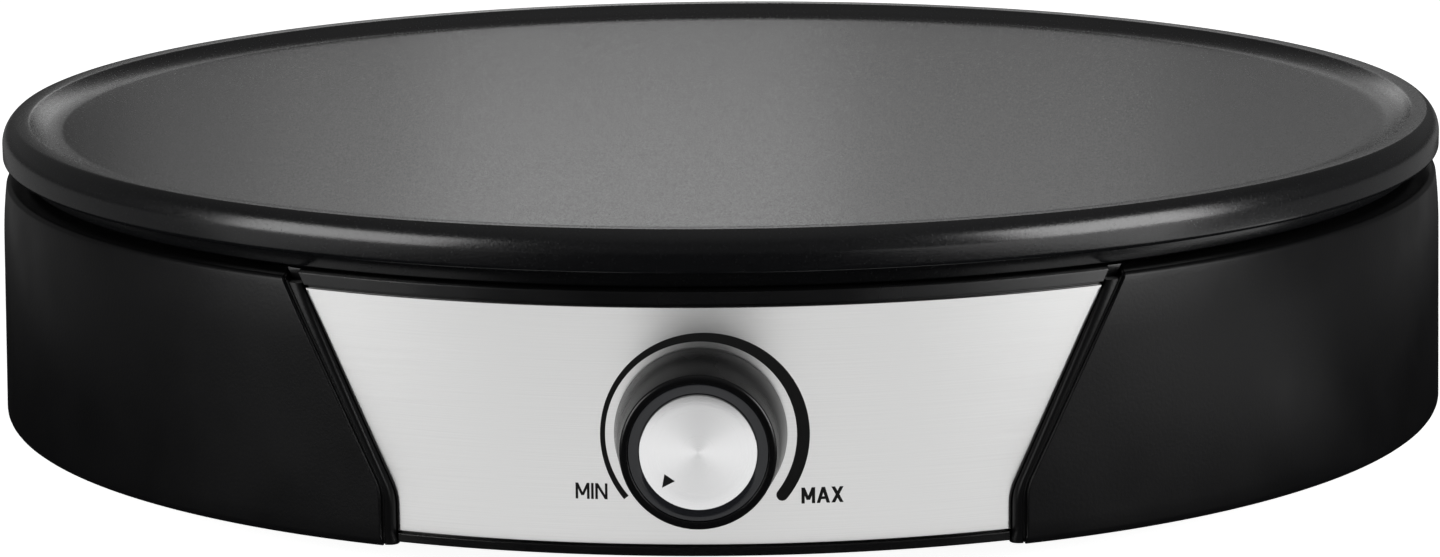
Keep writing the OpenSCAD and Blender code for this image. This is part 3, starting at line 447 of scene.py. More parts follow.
LIP_W = 0.8 * MM            # the bay's edge steps back by LIP_D over its last LIP_W
LIP_D = 0.9 * MM
LIP_ROUND = 0.28 * MM
LIP_FILLET = 0.15 * MM      # in the corner of the step
LIP_STEPS = 5
LIP_LEAD = (3, 1.6)         # two columns on the skin before the step, counted in LIP_ROUND
EDGE_SHARE = 0.35           # the step narrows to this share of itself at the foot and on top
FLANGE_SHARE = 0.1
BEND_R = 10 * MM            # the bend in the bay's and the panel's outlines
# outlines: half width low down, half width at the housing's top, height of the bend
BAY_FORM = (63.2 * MM, 82.9 * MM, BASE_Z + 11.6 * MM)
PANEL_FORM = (60.8 * MM, 80.1 * MM, BASE_Z + 10.4 * MM)
BLACK = (0.0022, 0.0022, 0.0024)


def form_x(form, inset, z):
    """Half width of an outline at height z, moved inwards by inset."""
    low, top, bend = form
    tilt = atan((top - low) / (TOP_Z - bend))
    centre = low + BEND_R
    rise = z - bend + BEND_R * tan(tilt / 2)
    radius = BEND_R + inset
    if rise <= 0:
        return low - inset
    if rise < radius * sin(tilt):
        return centre - sqrt(radius ** 2 - rise ** 2)
    return centre - radius / cos(tilt) + rise * tan(tilt)


def bay_x(inset, z):
    """Half width of the bay's outline at height z, moved inwards by inset."""
    return form_x(BAY_FORM, inset, z)


def wall_point(z):
    """Point and outward normal of the housing's wall at height z: crowned above, flared below."""
    if z > CROWN_Z:
        rise = z - CROWN_C[1]
        out = sqrt(CROWN_R ** 2 - rise ** 2)
        return (CROWN_C[0] + out, z), (out / CROWN_R, rise / CROWN_R)
    return (BODY_R + (CROWN_Z - z) * tan(FLARE), z), (cos(FLARE), sin(FLARE))


def wall_heights(high):
    """Heights of the wall's rows, from the ledge up to high."""
    low = LEDGE_Z + WALL
    return [low + (high - low) * k / WALL_BANDS for k in range(WALL_BANDS + 1)]


def lip_section():
    """From the skin to the bay's edge: (distance from the edge, depth below the skin)."""
    turns = [radians(90 * k / LIP_STEPS) for k in range(LIP_STEPS + 1)]
    rounding = [(LIP_ROUND * (1 - sin(a)), LIP_ROUND * (1 - cos(a))) for a in turns]
    points = [(LIP_W + lead * LIP_ROUND, 0.0) for lead in LIP_LEAD]
    points += [(LIP_W + away, depth) for away, depth in rounding]
    points += [(LIP_W, LIP_D - LIP_FILLET), (LIP_W - LIP_FILLET, LIP_D)]
    points += [(away, LIP_D + depth) for away, depth in rounding]
    return points


def outer_rows():
    """The skin's section, from the foot over the wall to the flange: (radius, height, outward
    normal, share of the lip). Comes with the number of the wall's first row."""
    rows = [(INNER_R, BASE_Z, (0, -1), EDGE_SHARE)]

    def add_round(centre, radius, turn, share):
        normal = (cos(turn), sin(turn))
        place = (centre[0] + radius * normal[0], centre[1] + radius * normal[1])
        rows.append((*place, normal, share))

    for k in range(BASE_STEPS + 1):
        turn = -pi / 2 + (FLARE + pi / 2) * k / BASE_STEPS
        add_round(BASE_C, BASE_EDGE, turn, EDGE_SHARE + (1 - EDGE_SHARE) * k / BASE_STEPS)
    first_level = len(rows)
    for z in wall_heights(EDGE_C[1] + TOP_EDGE * sin(EDGE_TURN)):
        place, normal = wall_point(z)
        rows.append((*place, normal, 1.0))
    for k in range(1, TOP_STEPS + 1):
        turn = EDGE_TURN + (pi / 2 - EDGE_TURN) * k / TOP_STEPS
        add_round(EDGE_C, TOP_EDGE, turn, 1.0 - (1 - EDGE_SHARE) * k / TOP_STEPS)
    rows += [
        (FLANGE_R + FLANGE_ROUND, TOP_Z, (0, 1), EDGE_SHARE),
        (FLANGE_R + FLANGE_MIDDLE, TOP_Z - FLANGE_MIDDLE, (0, 1), FLANGE_SHARE),
        (FLANGE_R, TOP_Z - FLANGE_ROUND, (0, 1), 0.0),
    ]
    return rows, first_level


def inner_rows():
    """The rest of the section, under the flange, down the wall and round the ledge: (radius,
    height). The wall's rows begin with the third."""
    rows = [(FLANGE_R, TOP_Z - WALL), (INNER_R, TOP_Z - WALL)]
    rows += [(INNER_R, z) for z in reversed(wall_heights(TOP_Z - WALL - INNER_GAP))]
    rows += [(LEDGE_R, LEDGE_Z + WALL), (LEDGE_R, LEDGE_Z), (INNER_R, LEDGE_Z)]
    return rows


def housing_point(side, x, r, z):
    """Point of the front at half width x and at radius r from the plate's axis."""
    return Vector((side * x, AXIS_Y - sqrt(max(r * r - x * x, 0)), z))


def edge_columns(side, outer, inner):
    """Columns from the skin to the bay's edge, on one side. The last ones reach in, as the wall
    behind the edge."""
    lip = lip_section()
    columns = []
    for k, (away, depth) in enumerate(lip):
        column = []
        for r, z, normal, share in outer:
            sunk_r = r - normal[0] * depth * share
            sunk_z = z - normal[1] * depth * share
            column.append(housing_point(side, bay_x(-away * share, z), sunk_r, sunk_z))
        back = RETURN_T if k < len(lip) - 1 else 0.0
        reach = RETURN_R if k >= len(lip) - RETURN_COLUMNS else INNER_R
        for r, z in inner:
            column.append(housing_point(side, bay_x(-back, z), min(r, reach), z))
        columns.append(column)
    return columns


def back_columns(right, left):
    """Columns turned evenly round the back, from the right side of the bay to the left one."""
    columns = []
    for k in range(1, BACK_COLUMNS):
        share = k / BACK_COLUMNS
        column = []
        for a, b in zip(right, left):
            r = hypot(a.x, a.y - AXIS_Y)
            start = atan2(a.y - AXIS_Y, a.x)
            end = atan2(b.y - AXIS_Y, b.x) + 2 * pi
            turn = start + (end - start) * share
            column.append(Vector((r * cos(turn), AXIS_Y + r * sin(turn), a.z)))
        columns.append(column)
    return columns


def end_faces(points, start, first_level, first_down, row_count):
    """Closes the section at the bay's edge, in the column of points that begins at start: quads
    across the wall, and triangles above and below them."""
    last_down = first_down + WALL_BANDS
    faces = []
    for k in range(WALL_BANDS):
        outer, inner = start + first_level + k, start + last_down - k
        faces.append((outer, outer + 1, inner - 1, inner))
    top = range(first_level + WALL_BANDS, first_down + 1)
    low = (*range(last_down, row_count), *range(first_level + 1))
    for rows in (top, low):
        loop = [start + j for j in rows]
        flat = [Vector((points[j].y, points[j].z, 0)) for j in loop]
        faces += [tuple(loop[c] for c in triangle) for triangle in tessellate_polygon([flat])]
    return faces


def make_housing():
    """The shell with its bay, closed at both edges of the bay."""
    outer, first_level = outer_rows()
    inner = inner_rows()
    row_count = len(outer) + len(inner)
    first_down = len(outer) + 2
    right = edge_columns(1, outer, inner)
    left = edge_columns(-1, outer, inner)
    columns = right[::-1] + back_columns(right[0], left[0]) + left
    points = [point for column in columns for point in column]
    faces = []
    for i in range(len(columns) - 1):
        for j in range(row_count):
            a = i * row_count + j
            b = i * row_count + (j + 1) % row_count
            faces.append((a, a + row_count, b + row_count, b))
    last = (len(columns) - 1) * row_count
    faces += end_faces(points, 0, first_level, first_down, row_count)
    faces += [face[::-1] for face in end_faces(points, last, first_level, first_down, row_count)]
    material = moulded_plastic("housing_plastic", BLACK, 0.35)
    make_bay_rolls(material)
    housing = new_object("housing_moulding", points, faces, material)
    mend_mesh(housing)
    stand_for(housing, "base", "housing_shell")


ROLL_LEVELS = 48
ROLL_STEPS = 8
ROLL_BOTTOM = 0.3 * MM              # the roll's ends, from the housing's foot and top
ROLL_TOP = 1.5 * MM
ROLL_FRONT = LIP_D + LIP_ROUND      # how far below the skin the roll starts
ROLL_BACK = 155.4 * MM
ROLL_GAP = 0.02 * MM                # to the bay's edge
ROLL_LINE = 0.12 * MM               # dark line that stays open beside the panel
ROLL_SINK = 0.5 * MM                # the roll ends this far behind the panel's face
TOE_H = 1.4 * MM                    # up to here the roll goes TOE_LAP behind the panel instead,
TOE_LAP = 0.35 * MM                 # which closes the end of the lip


def make_bay_rolls(material):
    """The rounded face between the bay's edge and the panel, one on each side."""
    low, high = BASE_Z + ROLL_BOTTOM, TOP_Z - ROLL_TOP
    row = ROLL_STEPS + 3
    for name, side in (("bay_roll_left", -1), ("bay_roll_right", 1)):
        points = []
        for j in range(ROLL_LEVELS + 1):
            z = low + (high - low) * j / ROLL_LEVELS
            edge = bay_x(0, z) - ROLL_GAP
            line = ROLL_LINE if z > BASE_Z + TOE_H else -TOE_LAP
            width = edge - form_x(PANEL_FORM, 0, z) - line
            front = wall_point(z)[0][0] - ROLL_FRONT
            drop = front - (PANEL_R - ROLL_SINK)
            for k in range(ROLL_STEPS + 1):
                t = pi / 2 * k / ROLL_STEPS
                x, r = edge - width * sin(t), front - drop * (1 - cos(t))
                points.append(housing_point(side, x, r, z))
            points.append(housing_point(side, edge - width, ROLL_BACK, z))
            points.append(housing_point(side, edge, ROLL_BACK, z))
        faces = []
        for j in range(ROLL_LEVELS):
            for k in range(row):
                n = (k + 1) % row
                faces.append((j * row + k, j * row + n, (j + 1) * row + n, (j + 1) * row + k))
        faces.append(tuple(range(row)))
        faces.append(tuple(ROLL_LEVELS * row + k for k in reversed(range(row))))
        add_detail(name, points, faces, material, "base")


# ---- fascia ----

PANEL_T = 0.8 * MM
PANEL_CORNER = 0.3 * MM     # rounding of the two top corners
PANEL_EDGE = 0.12 * MM      # how much the face's edge is broken
PANEL_ROWS = 60
PANEL_COLUMNS = 220
PANEL_GRAIN = (9000, 25, 1)     # grains to the metre across the lines and along them


def panel_half(z, inset):
    """Half width of the panel at height z, moved inwards by inset, with its top corners."""
    x = form_x(PANEL_FORM, inset, z)
    over = z - (PANEL_HI.z - PANEL_CORNER)
    if over > 0:
        x -= PANEL_CORNER - sqrt(max(PANEL_CORNER ** 2 - over ** 2, 0))
    return x


def panel_border(start):
    """Points round one of the panel's two faces, whose points begin at start."""
    wide = PANEL_COLUMNS + 1
    loop = [start + c for c in range(wide)]
    loop += [start + j * wide + PANEL_COLUMNS for j in range(1, PANEL_ROWS + 1)]
    loop += [start + PANEL_ROWS * wide + c for c in range(PANEL_COLUMNS - 1, -1, -1)]
    loop += [start + j * wide for j in range(PANEL_ROWS - 1, 0, -1)]
    return loop


def make_panel():
    """Curved steel sheet. In its grain map u runs up and v runs round the axis."""
    low, high = PANEL_LO.z, PANEL_HI.z
    wide = PANEL_COLUMNS + 1
    points = []
    faces = []
    borders = []
    for radius, inset in ((PANEL_R, PANEL_EDGE), (PANEL_R - PANEL_T, 0.0)):
        start = len(points)
        borders.append(panel_border(start))
        for j in range(PANEL_ROWS + 1):
            z = low + (high - low) * j / PANEL_ROWS
            z = min(max(z, low + inset), high - inset)
            half = panel_half(z, inset)
            for c in range(wide):
                x = -half + 2 * half * c / PANEL_COLUMNS
                points.append(Vector((x, AXIS_Y - sqrt(radius ** 2 - x ** 2), z)))
        for j in range(PANEL_ROWS):
            for c in range(PANEL_COLUMNS):
                a = start + j * wide + c
                quad = (a, a + 1, a + wide + 1, a + wide)
                faces.append(quad if radius == PANEL_R else quad[::-1])
    front, back = borders
    middle = []
    radius = PANEL_R - PANEL_EDGE
    for index in back:
        p = points[index]
        middle.append(len(points))
        points.append(Vector((p.x, AXIS_Y - sqrt(radius ** 2 - p.x ** 2), p.z)))
    for k in range(len(front)):
        n = (k + 1) % len(front)
        faces.append((front[n], front[k], middle[k], middle[n]))
        faces.append((middle[n], middle[k], back[k], back[n]))
    material = brushed_sheet("fascia_steel", (0.76, 0.76, 0.755), 0.36, PANEL_GRAIN, 0.75)
    panel = new_object("fascia_sheet", points, faces, material)
    grain = panel.data.uv_layers.new(name=GRAIN_MAP)
    for loop in panel.data.loops:
        p = panel.data.vertices[loop.vertex_index].co
        grain.data[loop.index].uv = (p.z, PANEL_R * asin(p.x / PANEL_R))
    mend_mesh(panel)
    stand_for(panel, "base", "fascia_panel")


# ---- knob ----

KNOB_COLUMNS = 192
KNOB_GAP = 0.5 * MM         # between the panel and the knob
KNOB_BACK = 16.9 * MM       # its radius at the back
KNOB_FRONT = 15.2 * MM      # and at the front
KNOB_OUT = 17.5 * MM        # how far it stands out
KNOB_HEEL = 0.3 * MM        # rounding at the back
KNOB_EDGE = 0.8 * MM        # rounding at the front
POCKET_R = 13.6 * MM
POCKET_EDGE = 0.15 * MM
POCKET_D = 3.3 * MM
POCKET_FLOOR = KNOB_OUT - POCKET_D
RING_RECESS = 0.3 * MM      # behind the knob's front
RING_FRONT = KNOB_OUT - RING_RECESS
RING_EDGE = 0.18 * MM
RING_TURN = 78              # how far its outer edge is rounded, in degrees
RING_GAP = 0.1 * MM         # between the cap and the ring
RING_SLOPE = 0.5 * MM       # how much lower the ring is at the cap
RING_LIP_W = 0.3 * MM       # its broken inner edge
RING_LIP_H = 0.05 * MM
CAP_R = 11.4 * MM
CAP_RECESS = 0.5 * MM
CAP_FRONT = KNOB_OUT - CAP_RECESS
CAP_EDGE = 0.3 * MM
CAP_RINGS = (0.8, 0.5, 0.25, 0.08, 0)   # points of the cap's face, as shares of its radius
CAP_GRAIN = (7000, 1, 1)
CAP_GRAIN_R = 10 * MM       # the grain map's v is the angle on a circle of this radius


def add_knob_part(name, section, material, node):
    """A turned part of the knob, in place of a CAD node."""
    part = lathe(name, section, forward, material, KNOB_COLUMNS)
    mend_mesh(part)
    stand_for(part, "knob", node)
    return part


def make_knob_body():
    """Tapered knob with a pocket in its front."""
    tilt = degrees(atan((KNOB_BACK - KNOB_FRONT) / (KNOB_OUT - KNOB_EDGE - KNOB_GAP)))
    heel = (KNOB_BACK - KNOB_HEEL, KNOB_GAP + KNOB_HEEL)
    section = [(0, KNOB_GAP), (KNOB_BACK - KNOB_HEEL, KNOB_GAP)]
    section += arc(heel, KNOB_HEEL, -90, tilt, steps=5)[1:]
    section += arc((KNOB_FRONT - KNOB_EDGE, KNOB_OUT - KNOB_EDGE), KNOB_EDGE, tilt, 90, steps=10)
    section += arc((POCKET_R + POCKET_EDGE, KNOB_OUT - POCKET_EDGE), POCKET_EDGE, 90, 180, steps=4)
    section += [(POCKET_R, POCKET_FLOOR), (0, POCKET_FLOOR)]
    colour = (0.0016, 0.0016, 0.0018)
    material = moulded_plastic("knob_plastic", colour, 0.27, grain=2500, depth=0.01 * MM, shine=0.28)
    add_knob_part("knob_moulding", section, material, "knob_body")


def make_knob_ring():
    """Glossy ring in the pocket, lower towards the cap."""
    outer, inner = RING_HI.x, CAP_R + RING_GAP
    low = RING_FRONT - RING_SLOPE
    section = [(inner, POCKET_FLOOR), (outer, POCKET_FLOOR), (outer, RING_FRONT - RING_EDGE)]
    section += arc((outer - RING_EDGE, RING_FRONT - RING_EDGE), RING_EDGE, 0, RING_TURN, steps=4)
    section += [(inner + RING_LIP_W, low + RING_LIP_H), (inner, low - RING_LIP_H)]
    add_knob_part("knob_gloss_ring", section, glossy_ring(), "knob_ring")


def make_knob_cap():
    """Spun metal cap. In its grain map u runs outwards and v runs round the axis."""
    section = [(0, POCKET_FLOOR), (CAP_R, POCKET_FLOOR), (CAP_R, CAP_FRONT - CAP_EDGE)]
    section += arc((CAP_R - CAP_EDGE, CAP_FRONT - CAP_EDGE), CAP_EDGE, 0, 90, steps=5)[1:]
    section += [(CAP_R * share, CAP_FRONT) for share in CAP_RINGS]
    material = brushed_sheet("cap_spun_metal", (0.70, 0.70, 0.705), 0.24, CAP_GRAIN, 0.8)
    cap = add_knob_part("knob_spun_cap", section, material, "knob_cap")
    grain = cap.data.uv_layers.new(name=GRAIN_MAP)
    for polygon in cap.data.polygons:
        middle = atan2(polygon.center.z - KNOB_Z, polygon.center.x)
        for index in polygon.loop_indices:
            p = cap.data.vertices[cap.data.loops[index].vertex_index].co
            radius = hypot(p.x, p.z - KNOB_Z)
            turn = atan2(p.z - KNOB_Z, p.x) if radius > TINY else middle
            # keeps a face that crosses the seam in one piece
            if turn - middle > pi:
                turn -= 2 * pi
            if turn - middle < -pi:
                turn += 2 * pi
            grain.data[index].uv = (radius, turn * CAP_GRAIN_R)


# ---- printing ----

INK_T = 0.03 * MM
ARC_DROP = 0.62 * MM        # the arc's centre below the knob's axis
ARC_Z = KNOB_Z - ARC_DROP
ARC_INNER = 18.72 * MM
ARC_OUTER = 20.47 * MM
ARC_SHIFT = 0.76 * MM       # the outer circle's centre is this far to the right
ARC_FROM = -130.4           # degrees clockwise from the top
ARC_TO = 127.5
ARC_STEPS = 150
ARC_END_STEPS = 8


def on_panel(x, z, lift):
    """Point at height lift above the panel's face."""
    radius = PANEL_R + lift
    return Vector((x, AXIS_Y - sqrt(radius ** 2 - x ** 2), z))


def strip_print(name, pairs, material):
    """A thin print on the panel between two rows of points, given in pairs."""
    points = [on_panel(*point, lift) for lift in (0.0, INK_T) for pair in pairs for point in pair]
    top = 2 * len(pairs)
    end = top - 2
    faces = []
    for a in range(0, end, 2):
        faces.append((top + a, top + a + 1, top + a + 3, top + a + 2))
        faces.append((a + 2, a + 3, a + 1, a))
        faces.append((a, top + a, top + a + 2, a + 2))
        faces.append((a + 3, top + a + 3, top + a + 1, a + 1))
    faces.append((1, top + 1, top, 0))
    faces.append((end, top + end, top + end + 1, end + 1))
    add_detail(name, points, faces, material, "base")


def make_scale(material):
    """The dial's arc, which widens towards MAX and has a round end there."""
    pairs = []
    for k in range(ARC_STEPS + 1):
        a = radians(ARC_FROM + (ARC_TO - ARC_FROM) * k / ARC_STEPS)
        direction = (sin(a), cos(a))
        # the outer circle's own radius along this direction
        along = ARC_SHIFT * direction[0]
        reach = along + sqrt(ARC_OUTER ** 2 - ARC_SHIFT ** 2 + along ** 2)
        pairs.append([(r * direction[0], ARC_Z + r * direction[1]) for r in (ARC_INNER, reach)])
    inner, outer = pairs[-1]
    width = hypot(outer[0] - inner[0], outer[1] - inner[1])
    middle = ARC_INNER + width / 2
    for k in range(1, ARC_END_STEPS + 1):
        t = radians(90 * k / ARC_END_STEPS)
        turn = radians(ARC_TO) + width / 2 * sin(t) / middle
        half = width / 2 * cos(t)
        radii = (middle - half, middle + half)
        pairs.append([(r * sin(turn), ARC_Z + r * cos(turn)) for r in radii])
    strip_print("dial_scale_print", pairs, material)


# width over height, then the strokes of each letter in a unit square
LETTERS = {
    "M": (0.78, ((0, 0, 0, 1), (0, 1, 0.5, 0.22), (0.5, 0.22, 1, 1), (1, 1, 1, 0))),
    "I": (0.0, ((0, 0, 0, 1),)),
    "N": (0.66, ((0, 0, 0, 1), (0, 1, 1, 0), (1, 0, 1, 1))),
    "A": (0.74, ((0, 0, 0.5, 1), (0.5, 1, 1, 0), (0.2, 0.32, 0.8, 0.32))),
    "X": (0.64, ((0, 0, 1, 1), (0, 1, 1, 0))),
}
LETTER_GAP = 0.10           # share of a word's height
CROSSBAR = 0.42             # half a crossbar's height, as a share of the stroke
# left, right, bottom and top of each word from the knob's axis, and its stroke
WORDS = {
    "MIN": (-24.7 * MM, -18.4 * MM, -13.6 * MM, -10.4 * MM, 0.50 * MM),
    "MAX": (19.5 * MM, 27.7 * MM, -14.6 * MM, -11.4 * MM, 0.64 * MM),
}
BOX_FACES = ((0, 3, 2, 1), (4, 5, 6, 7), (0, 1, 5, 4), (1, 2, 6, 5), (2, 3, 7, 6), (3, 0, 4, 7))


def make_word(word, material):
    """A word in plain capitals of straight strokes, fitted to its box on the panel."""
    left, right, low, high, stroke = WORDS[word]
    low, high = KNOB_Z + low, KNOB_Z + high
    height = high - low
    gap = LETTER_GAP * height
    room = right - left - len(word) * stroke - (len(word) - 1) * gap
    scale = room / sum(LETTERS[letter][0] for letter in word)
    points = []
    faces = []
    start = left + stroke / 2
    for letter in word:
        width, strokes = LETTERS[letter]
        width *= scale
        for ax, ay, bx, by in strokes:
            ax, bx = start + width * ax, start + width * bx
            az, bz = low + height * ay, low + height * by
            if az == bz:
                half = stroke * CROSSBAR
                corners = ((ax, az - half), (bx, az - half), (bx, az + half), (ax, az + half))
            else:
                half = stroke / 2 * hypot(bx - ax, bz - az) / abs(bz - az)
                corners = ((ax - half, az), (ax + half, az), (bx + half, bz), (bx - half, bz))
            first = len(points)
            for lift in (0.0, INK_T):
                points.extend(on_panel(x, z, lift) for x, z in corners)
            faces.extend(tuple(first + k for k in face) for face in BOX_FACES)
        start += width + stroke + gap
    add_detail(word.lower() + "_print", points, faces, material, "base")


# the pointer's corners on the cap, from the knob's axis
POINTER = ((-6.5 * MM, -4.2 * MM), (-4.5 * MM, -5.6 * MM), (-7.0 * MM, -6.9 * MM))


def make_pointer(material):
    """A small triangle on the cap."""
    points = []
    for lift in (0.0, INK_T):
        for x, z in POINTER:
            points.append(Vector((x, AXIS_Y - PANEL_R - CAP_FRONT - lift, KNOB_Z + z)))
    faces = [(0, 1, 2), (5, 4, 3), (0, 3, 4, 1), (1, 4, 5, 2), (2, 5, 3, 0)]
    add_detail("pointer_print", points, faces, material, "knob")


# ---- the other CAD pieces ----

SILICONE_BLACK = (0.025, 0.025, 0.026)
COVER_BLACK = (0.004, 0.004, 0.0042)
LEADS = {
    "lead_live": (0.16, 0.075, 0.035),
    "lead_switched": SILICONE_BLACK,
    "lead_heater": SILICONE_BLACK,
    "lead_neutral": (0.035, 0.10, 0.30),
    "lead_earth": (0.10, 0.30, 0.04),
}


def dress(node, material):
    """Gives a CAD node one material in every slot."""
    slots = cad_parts[node].data.materials
    slots.clear()
    slots.append(material)


def dress_inner_pieces():
    """Materials of all that the shells hide, and of the feet."""
    zinc = worn_metal("zinc_plate", (0.62, 0.63, 0.64), 0.34)
    dark_screw = worn_metal("black_zinc", (0.16, 0.16, 0.165), 0.42)
    steel_tube = worn_metal("element_sheath", (0.23, 0.21, 0.19), 0.48, edge=0.2 * MM, stains=250)
    copper = worn_metal("copper", (0.72, 0.36, 0.22), 0.32)
    brass = worn_metal("brass", (0.75, 0.60, 0.30), 0.30)
    sheet = worn_metal("mill_sheet", (0.70, 0.71, 0.72), 0.30, edge=0.2 * MM, stains=120)
    ceramic = dull_solid("ceramic", (0.82, 0.80, 0.74), 0.28)
    moulding = dull_solid("thermostat_moulding", (0.55, 0.45, 0.31), 0.5)
    nylon = dull_solid("nylon", (0.76, 0.74, 0.66), 0.38)
    sleeve = dull_solid("glass_sleeve", (0.74, 0.71, 0.63), 0.75, grain=2200, depth=0.1 * MM)
    rubber = dull_solid("foot_rubber", (0.020, 0.020, 0.020), 0.62, 1200, 0.06 * MM, 0.3 * MM)
    groups = {
        zinc: ("element_clamps", "element_clamp_screws", "sensor_clip", "fuse_clip", "clip_screws",
               "plate_spacers", "plate_screws", "thermostat_plate", "thermostat_bracket",
               "thermostat_screws", "bracket_screws", "earth_tag", "earth_screw",
               "element_terminals", "thermostat_spindle"),
        dark_screw: ("base_screws",),
        steel_tube: ("heating_element",),
        copper: ("sensor_bulb", "capillary_tube"),
        brass: ("thermostat_terminals", "terminal_screws"),
        sheet: ("heat_shield",),
        ceramic: ("element_insulators",),
        moulding: ("thermostat_body",),
        nylon: ("terminal_block",),
        sleeve: ("thermal_fuse",),
        rubber: ("rubber_feet",),
    }
    for material, nodes in groups.items():
        for node in nodes:
            dress(node, material)
    for node, colour in LEADS.items():
        dress(node, dull_solid(node + "_silicone", colour, 0.45, grain=600, depth=0.02 * MM))


def dress_outer_pieces():
    """Materials of the black mouldings that keep their CAD mesh."""
    gloss = {"edge": 0.25 * MM, "grain": 2200, "depth": 0.01 * MM, "shine": 0.6}
    dress("fascia_frame", moulded_plastic("frame_plastic", BLACK, 0.25, **gloss))
    dress("base_cover", moulded_plastic("cover_plastic", COVER_BLACK, 0.5, edge=0.3 * MM))
    dress("cord_gland", moulded_plastic("gland_plastic", COVER_BLACK, 0.4, edge=0.3 * MM))


# ---- studio ----

WHITE = (1, 1, 1, 1)
FLOOR_HALF = 6.0
FLOOR_GLOW = 0.93
# brightness by how far up a direction points (-1 to 1): from, to, brightness at each. It is dim
# all round, darker below the horizon, which reflections see through the floor, and brighter
# overhead.
WORLD_SPANS = ((-0.12, 0.10, 0.006, 0.10), (0.60, 1.0, 0.0, 0.20))
LAMP_DISTANCE = 1.3
LAMP_AIM = (0, 0, 0.06)
SHEET_Z = 2 * MM            # the floor sheets lie this far above the floor
# name, azimuth from the front, height, (width, height) of the lamp, brightness
SIDE_LAMPS = (
    ("side_left", -57, 0.42, (0.88, 0.72), 5.5),
    ("side_right", 62, 0.46, (0.82, 0.80), 7.5),
)
# name, place, size and brightness of the cards that the flat surface mirrors
BACK_CARDS = (
    ("back_near", (-0.13, 2.40, 0.68), (0.30, 0.36), 0.54),
    ("back_mid", (-0.07, 2.42, 0.68), (0.66, 0.36), 0.31),
    ("back_wide", (0.045, 2.44, 0.68), (1.12, 0.36), 0.40),
)
# name, left, right, front and back edge, brightness, and what they light
METAL_ONLY, ALL_BUT_METAL = "metal_pieces", "all_but_metal"
FLOOR_SHEETS = (
    ("floor_left", -1.3, -0.27, -0.9, -0.15, 0.6, ALL_BUT_METAL),
    ("floor_back_left", -1.3, -0.27, -0.15, 1.2, 0.17, ALL_BUT_METAL),
    ("floor_right", 0.27, 1.3, -0.9, -0.19, 2.0, ALL_BUT_METAL),
    ("floor_right_near", 0.20, 0.34, -0.19, -0.06, 1.2, ALL_BUT_METAL),
    ("floor_back_right", 0.27, 1.3, -0.19, 1.2, 0.19, ALL_BUT_METAL),
    ("front_near", -0.20, 0.20, -0.42, -0.10, 1.15, METAL_ONLY),
    ("floor_back", -0.13, 0.13, 0.18, 1.5, 5.0, ALL_BUT_METAL),
    ("front_near_left", -0.75, -0.20, -0.42, 0.05, 1.8, METAL_ONLY),
    ("front_near_right", 0.20, 0.75, -0.42, 0.05, 2.1, METAL_ONLY),
    ("front_left", -0.80, -0.07, -1.75, -0.42, 1.35, METAL_ONLY),
    ("front_right", 0.07, 0.80, -1.75, -0.42, 1.5, METAL_ONLY),
)
# the steel, the cap, and the ring, which is plastic but mirrors what they do
METAL = ("fascia_sheet", "knob_spun_cap", "knob_gloss_ring")


def make_floor():
    """Pale floor. It glows a little, so that it stays as pale as the photo's ground right up to the
    housing, and reflections don't show it."""
    paint = Paint("floor_pale", (0.60, 0.60, 0.60), 0.7, Emission_Strength=FLOOR_GLOW)
    paint.shader.inputs["Emission Color"].default_value = WHITE
    paint.vary_colour(paint.noise(4, 2.0), 0.99, 1.01)
    corners = [(x * FLOOR_HALF, y * FLOOR_HALF, 0) for x, y in ((-1, -1), (1, -1), (1, 1), (-1, 1))]
    floor = new_object("floor", corners, [(0, 1, 2, 3)], paint.material)
    floor.visible_glossy = False


def make_world():
    """The two spans of brightness, added up."""
    world = bpy.data.worlds.new("studio")
    world.use_nodes = True
    tree = world.node_tree
    direction = tree.nodes.new("ShaderNodeTexCoord")
    height = tree.nodes.new("ShaderNodeSeparateXYZ")
    total = tree.nodes.new("ShaderNodeMath")
    tree.links.new(direction.outputs["Generated"], height.inputs["Vector"])
    for k, span in enumerate(WORLD_SPANS):
        shade = tree.nodes.new("ShaderNodeMapRange")
        for socket, value in zip(("From Min", "From Max", "To Min", "To Max"), span):
            shade.inputs[socket].default_value = value
        tree.links.new(height.outputs["Z"], shade.inputs["Value"])
        tree.links.new(shade.outputs["Result"], total.inputs[k])
    tree.links.new(total.outputs["Value"], tree.nodes["Background"].inputs["Strength"])
    tree.nodes["Background"].inputs["Color"].default_value = WHITE
    bpy.context.scene.world = world


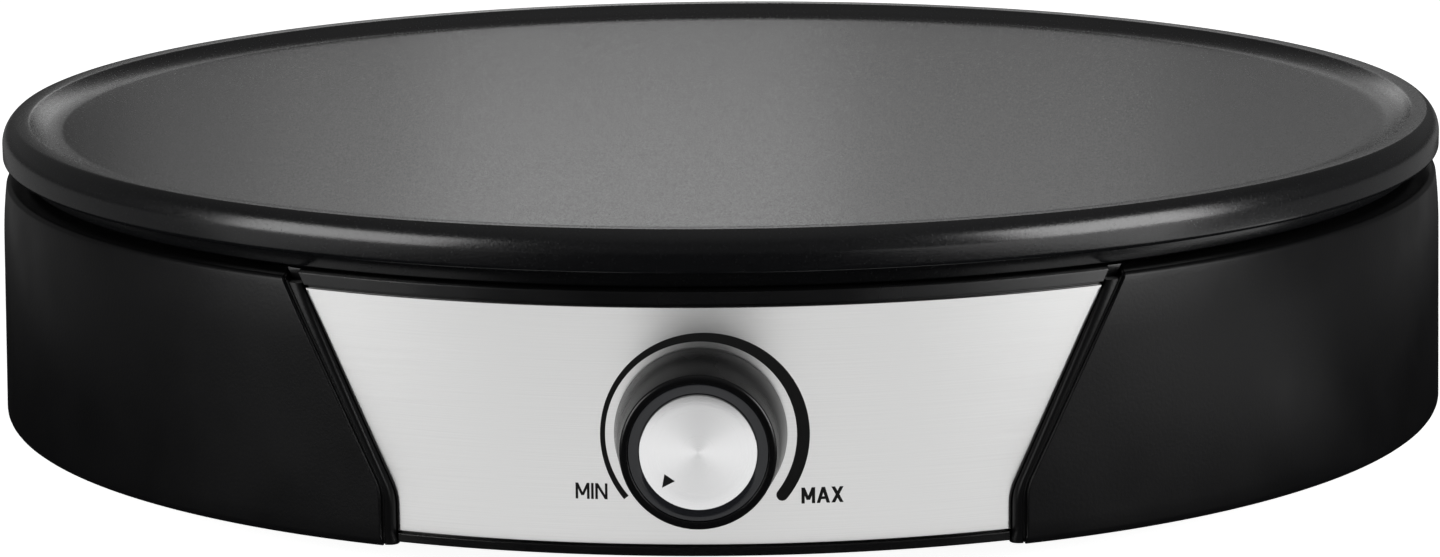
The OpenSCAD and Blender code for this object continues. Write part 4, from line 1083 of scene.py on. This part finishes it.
def lit_set(name, pieces, state):
    """A set of pieces that a lamp lights alone (INCLUDE) or leaves out (EXCLUDE)."""
    made = bpy.data.collections.new(name)
    for piece in pieces:
        made.objects.link(piece)
    for entry in made.collection_objects:
        entry.light_linking.link_state = state
    return made


def softbox(name, place, aim, size, radiance, lit):
    """Rectangular lamp of a given brightness, turned to aim; its width lies level."""
    data = bpy.data.lights.new(name, "AREA")
    data.shape = "RECTANGLE"
    data.size, data.size_y = size
    data.energy = radiance * pi * size[0] * size[1]
    light = bpy.data.objects.new(name, data)
    light.location = place
    light.rotation_euler = (Vector(aim) - Vector(place)).to_track_quat("-Z", "Y").to_euler()
    light.visible_camera = False
    bpy.context.scene.collection.objects.link(light)
    light.light_linking.receiver_collection = lit


def make_studio(metal):
    """Floor, world and lamps. A floor sheet is a lamp that lies on the floor and faces up: it is
    what reflections see of a lit floor there."""
    make_floor()
    make_world()
    lit = {
        METAL_ONLY: lit_set(METAL_ONLY, metal, "INCLUDE"),
        ALL_BUT_METAL: lit_set(ALL_BUT_METAL, metal, "EXCLUDE"),
    }
    for name, azimuth, height, size, radiance in SIDE_LAMPS:
        turn = radians(azimuth)
        place = (LAMP_DISTANCE * sin(turn), -LAMP_DISTANCE * cos(turn), height)
        softbox(name, place, LAMP_AIM, size, radiance, lit[ALL_BUT_METAL])
    for name, place, size, radiance in BACK_CARDS:
        softbox(name, place, LAMP_AIM, size, radiance, lit[ALL_BUT_METAL])
    for name, left, right, front, back, radiance, pieces in FLOOR_SHEETS:
        middle = ((left + right) / 2, (front + back) / 2)
        size = (right - left, back - front)
        softbox(name, (*middle, SHEET_Z), (*middle, 1), size, radiance, lit[pieces])
    bpy.context.scene.view_settings.view_transform = "Standard"


make_plate()
make_housing()
make_panel()
make_knob_body()
make_knob_ring()
make_knob_cap()
print_ink = ink()
make_scale(print_ink)
for word in WORDS:
    make_word(word, print_ink)
make_pointer(print_ink)
dress_inner_pieces()
dress_outer_pieces()
make_studio([bpy.data.objects[name] for name in METAL])
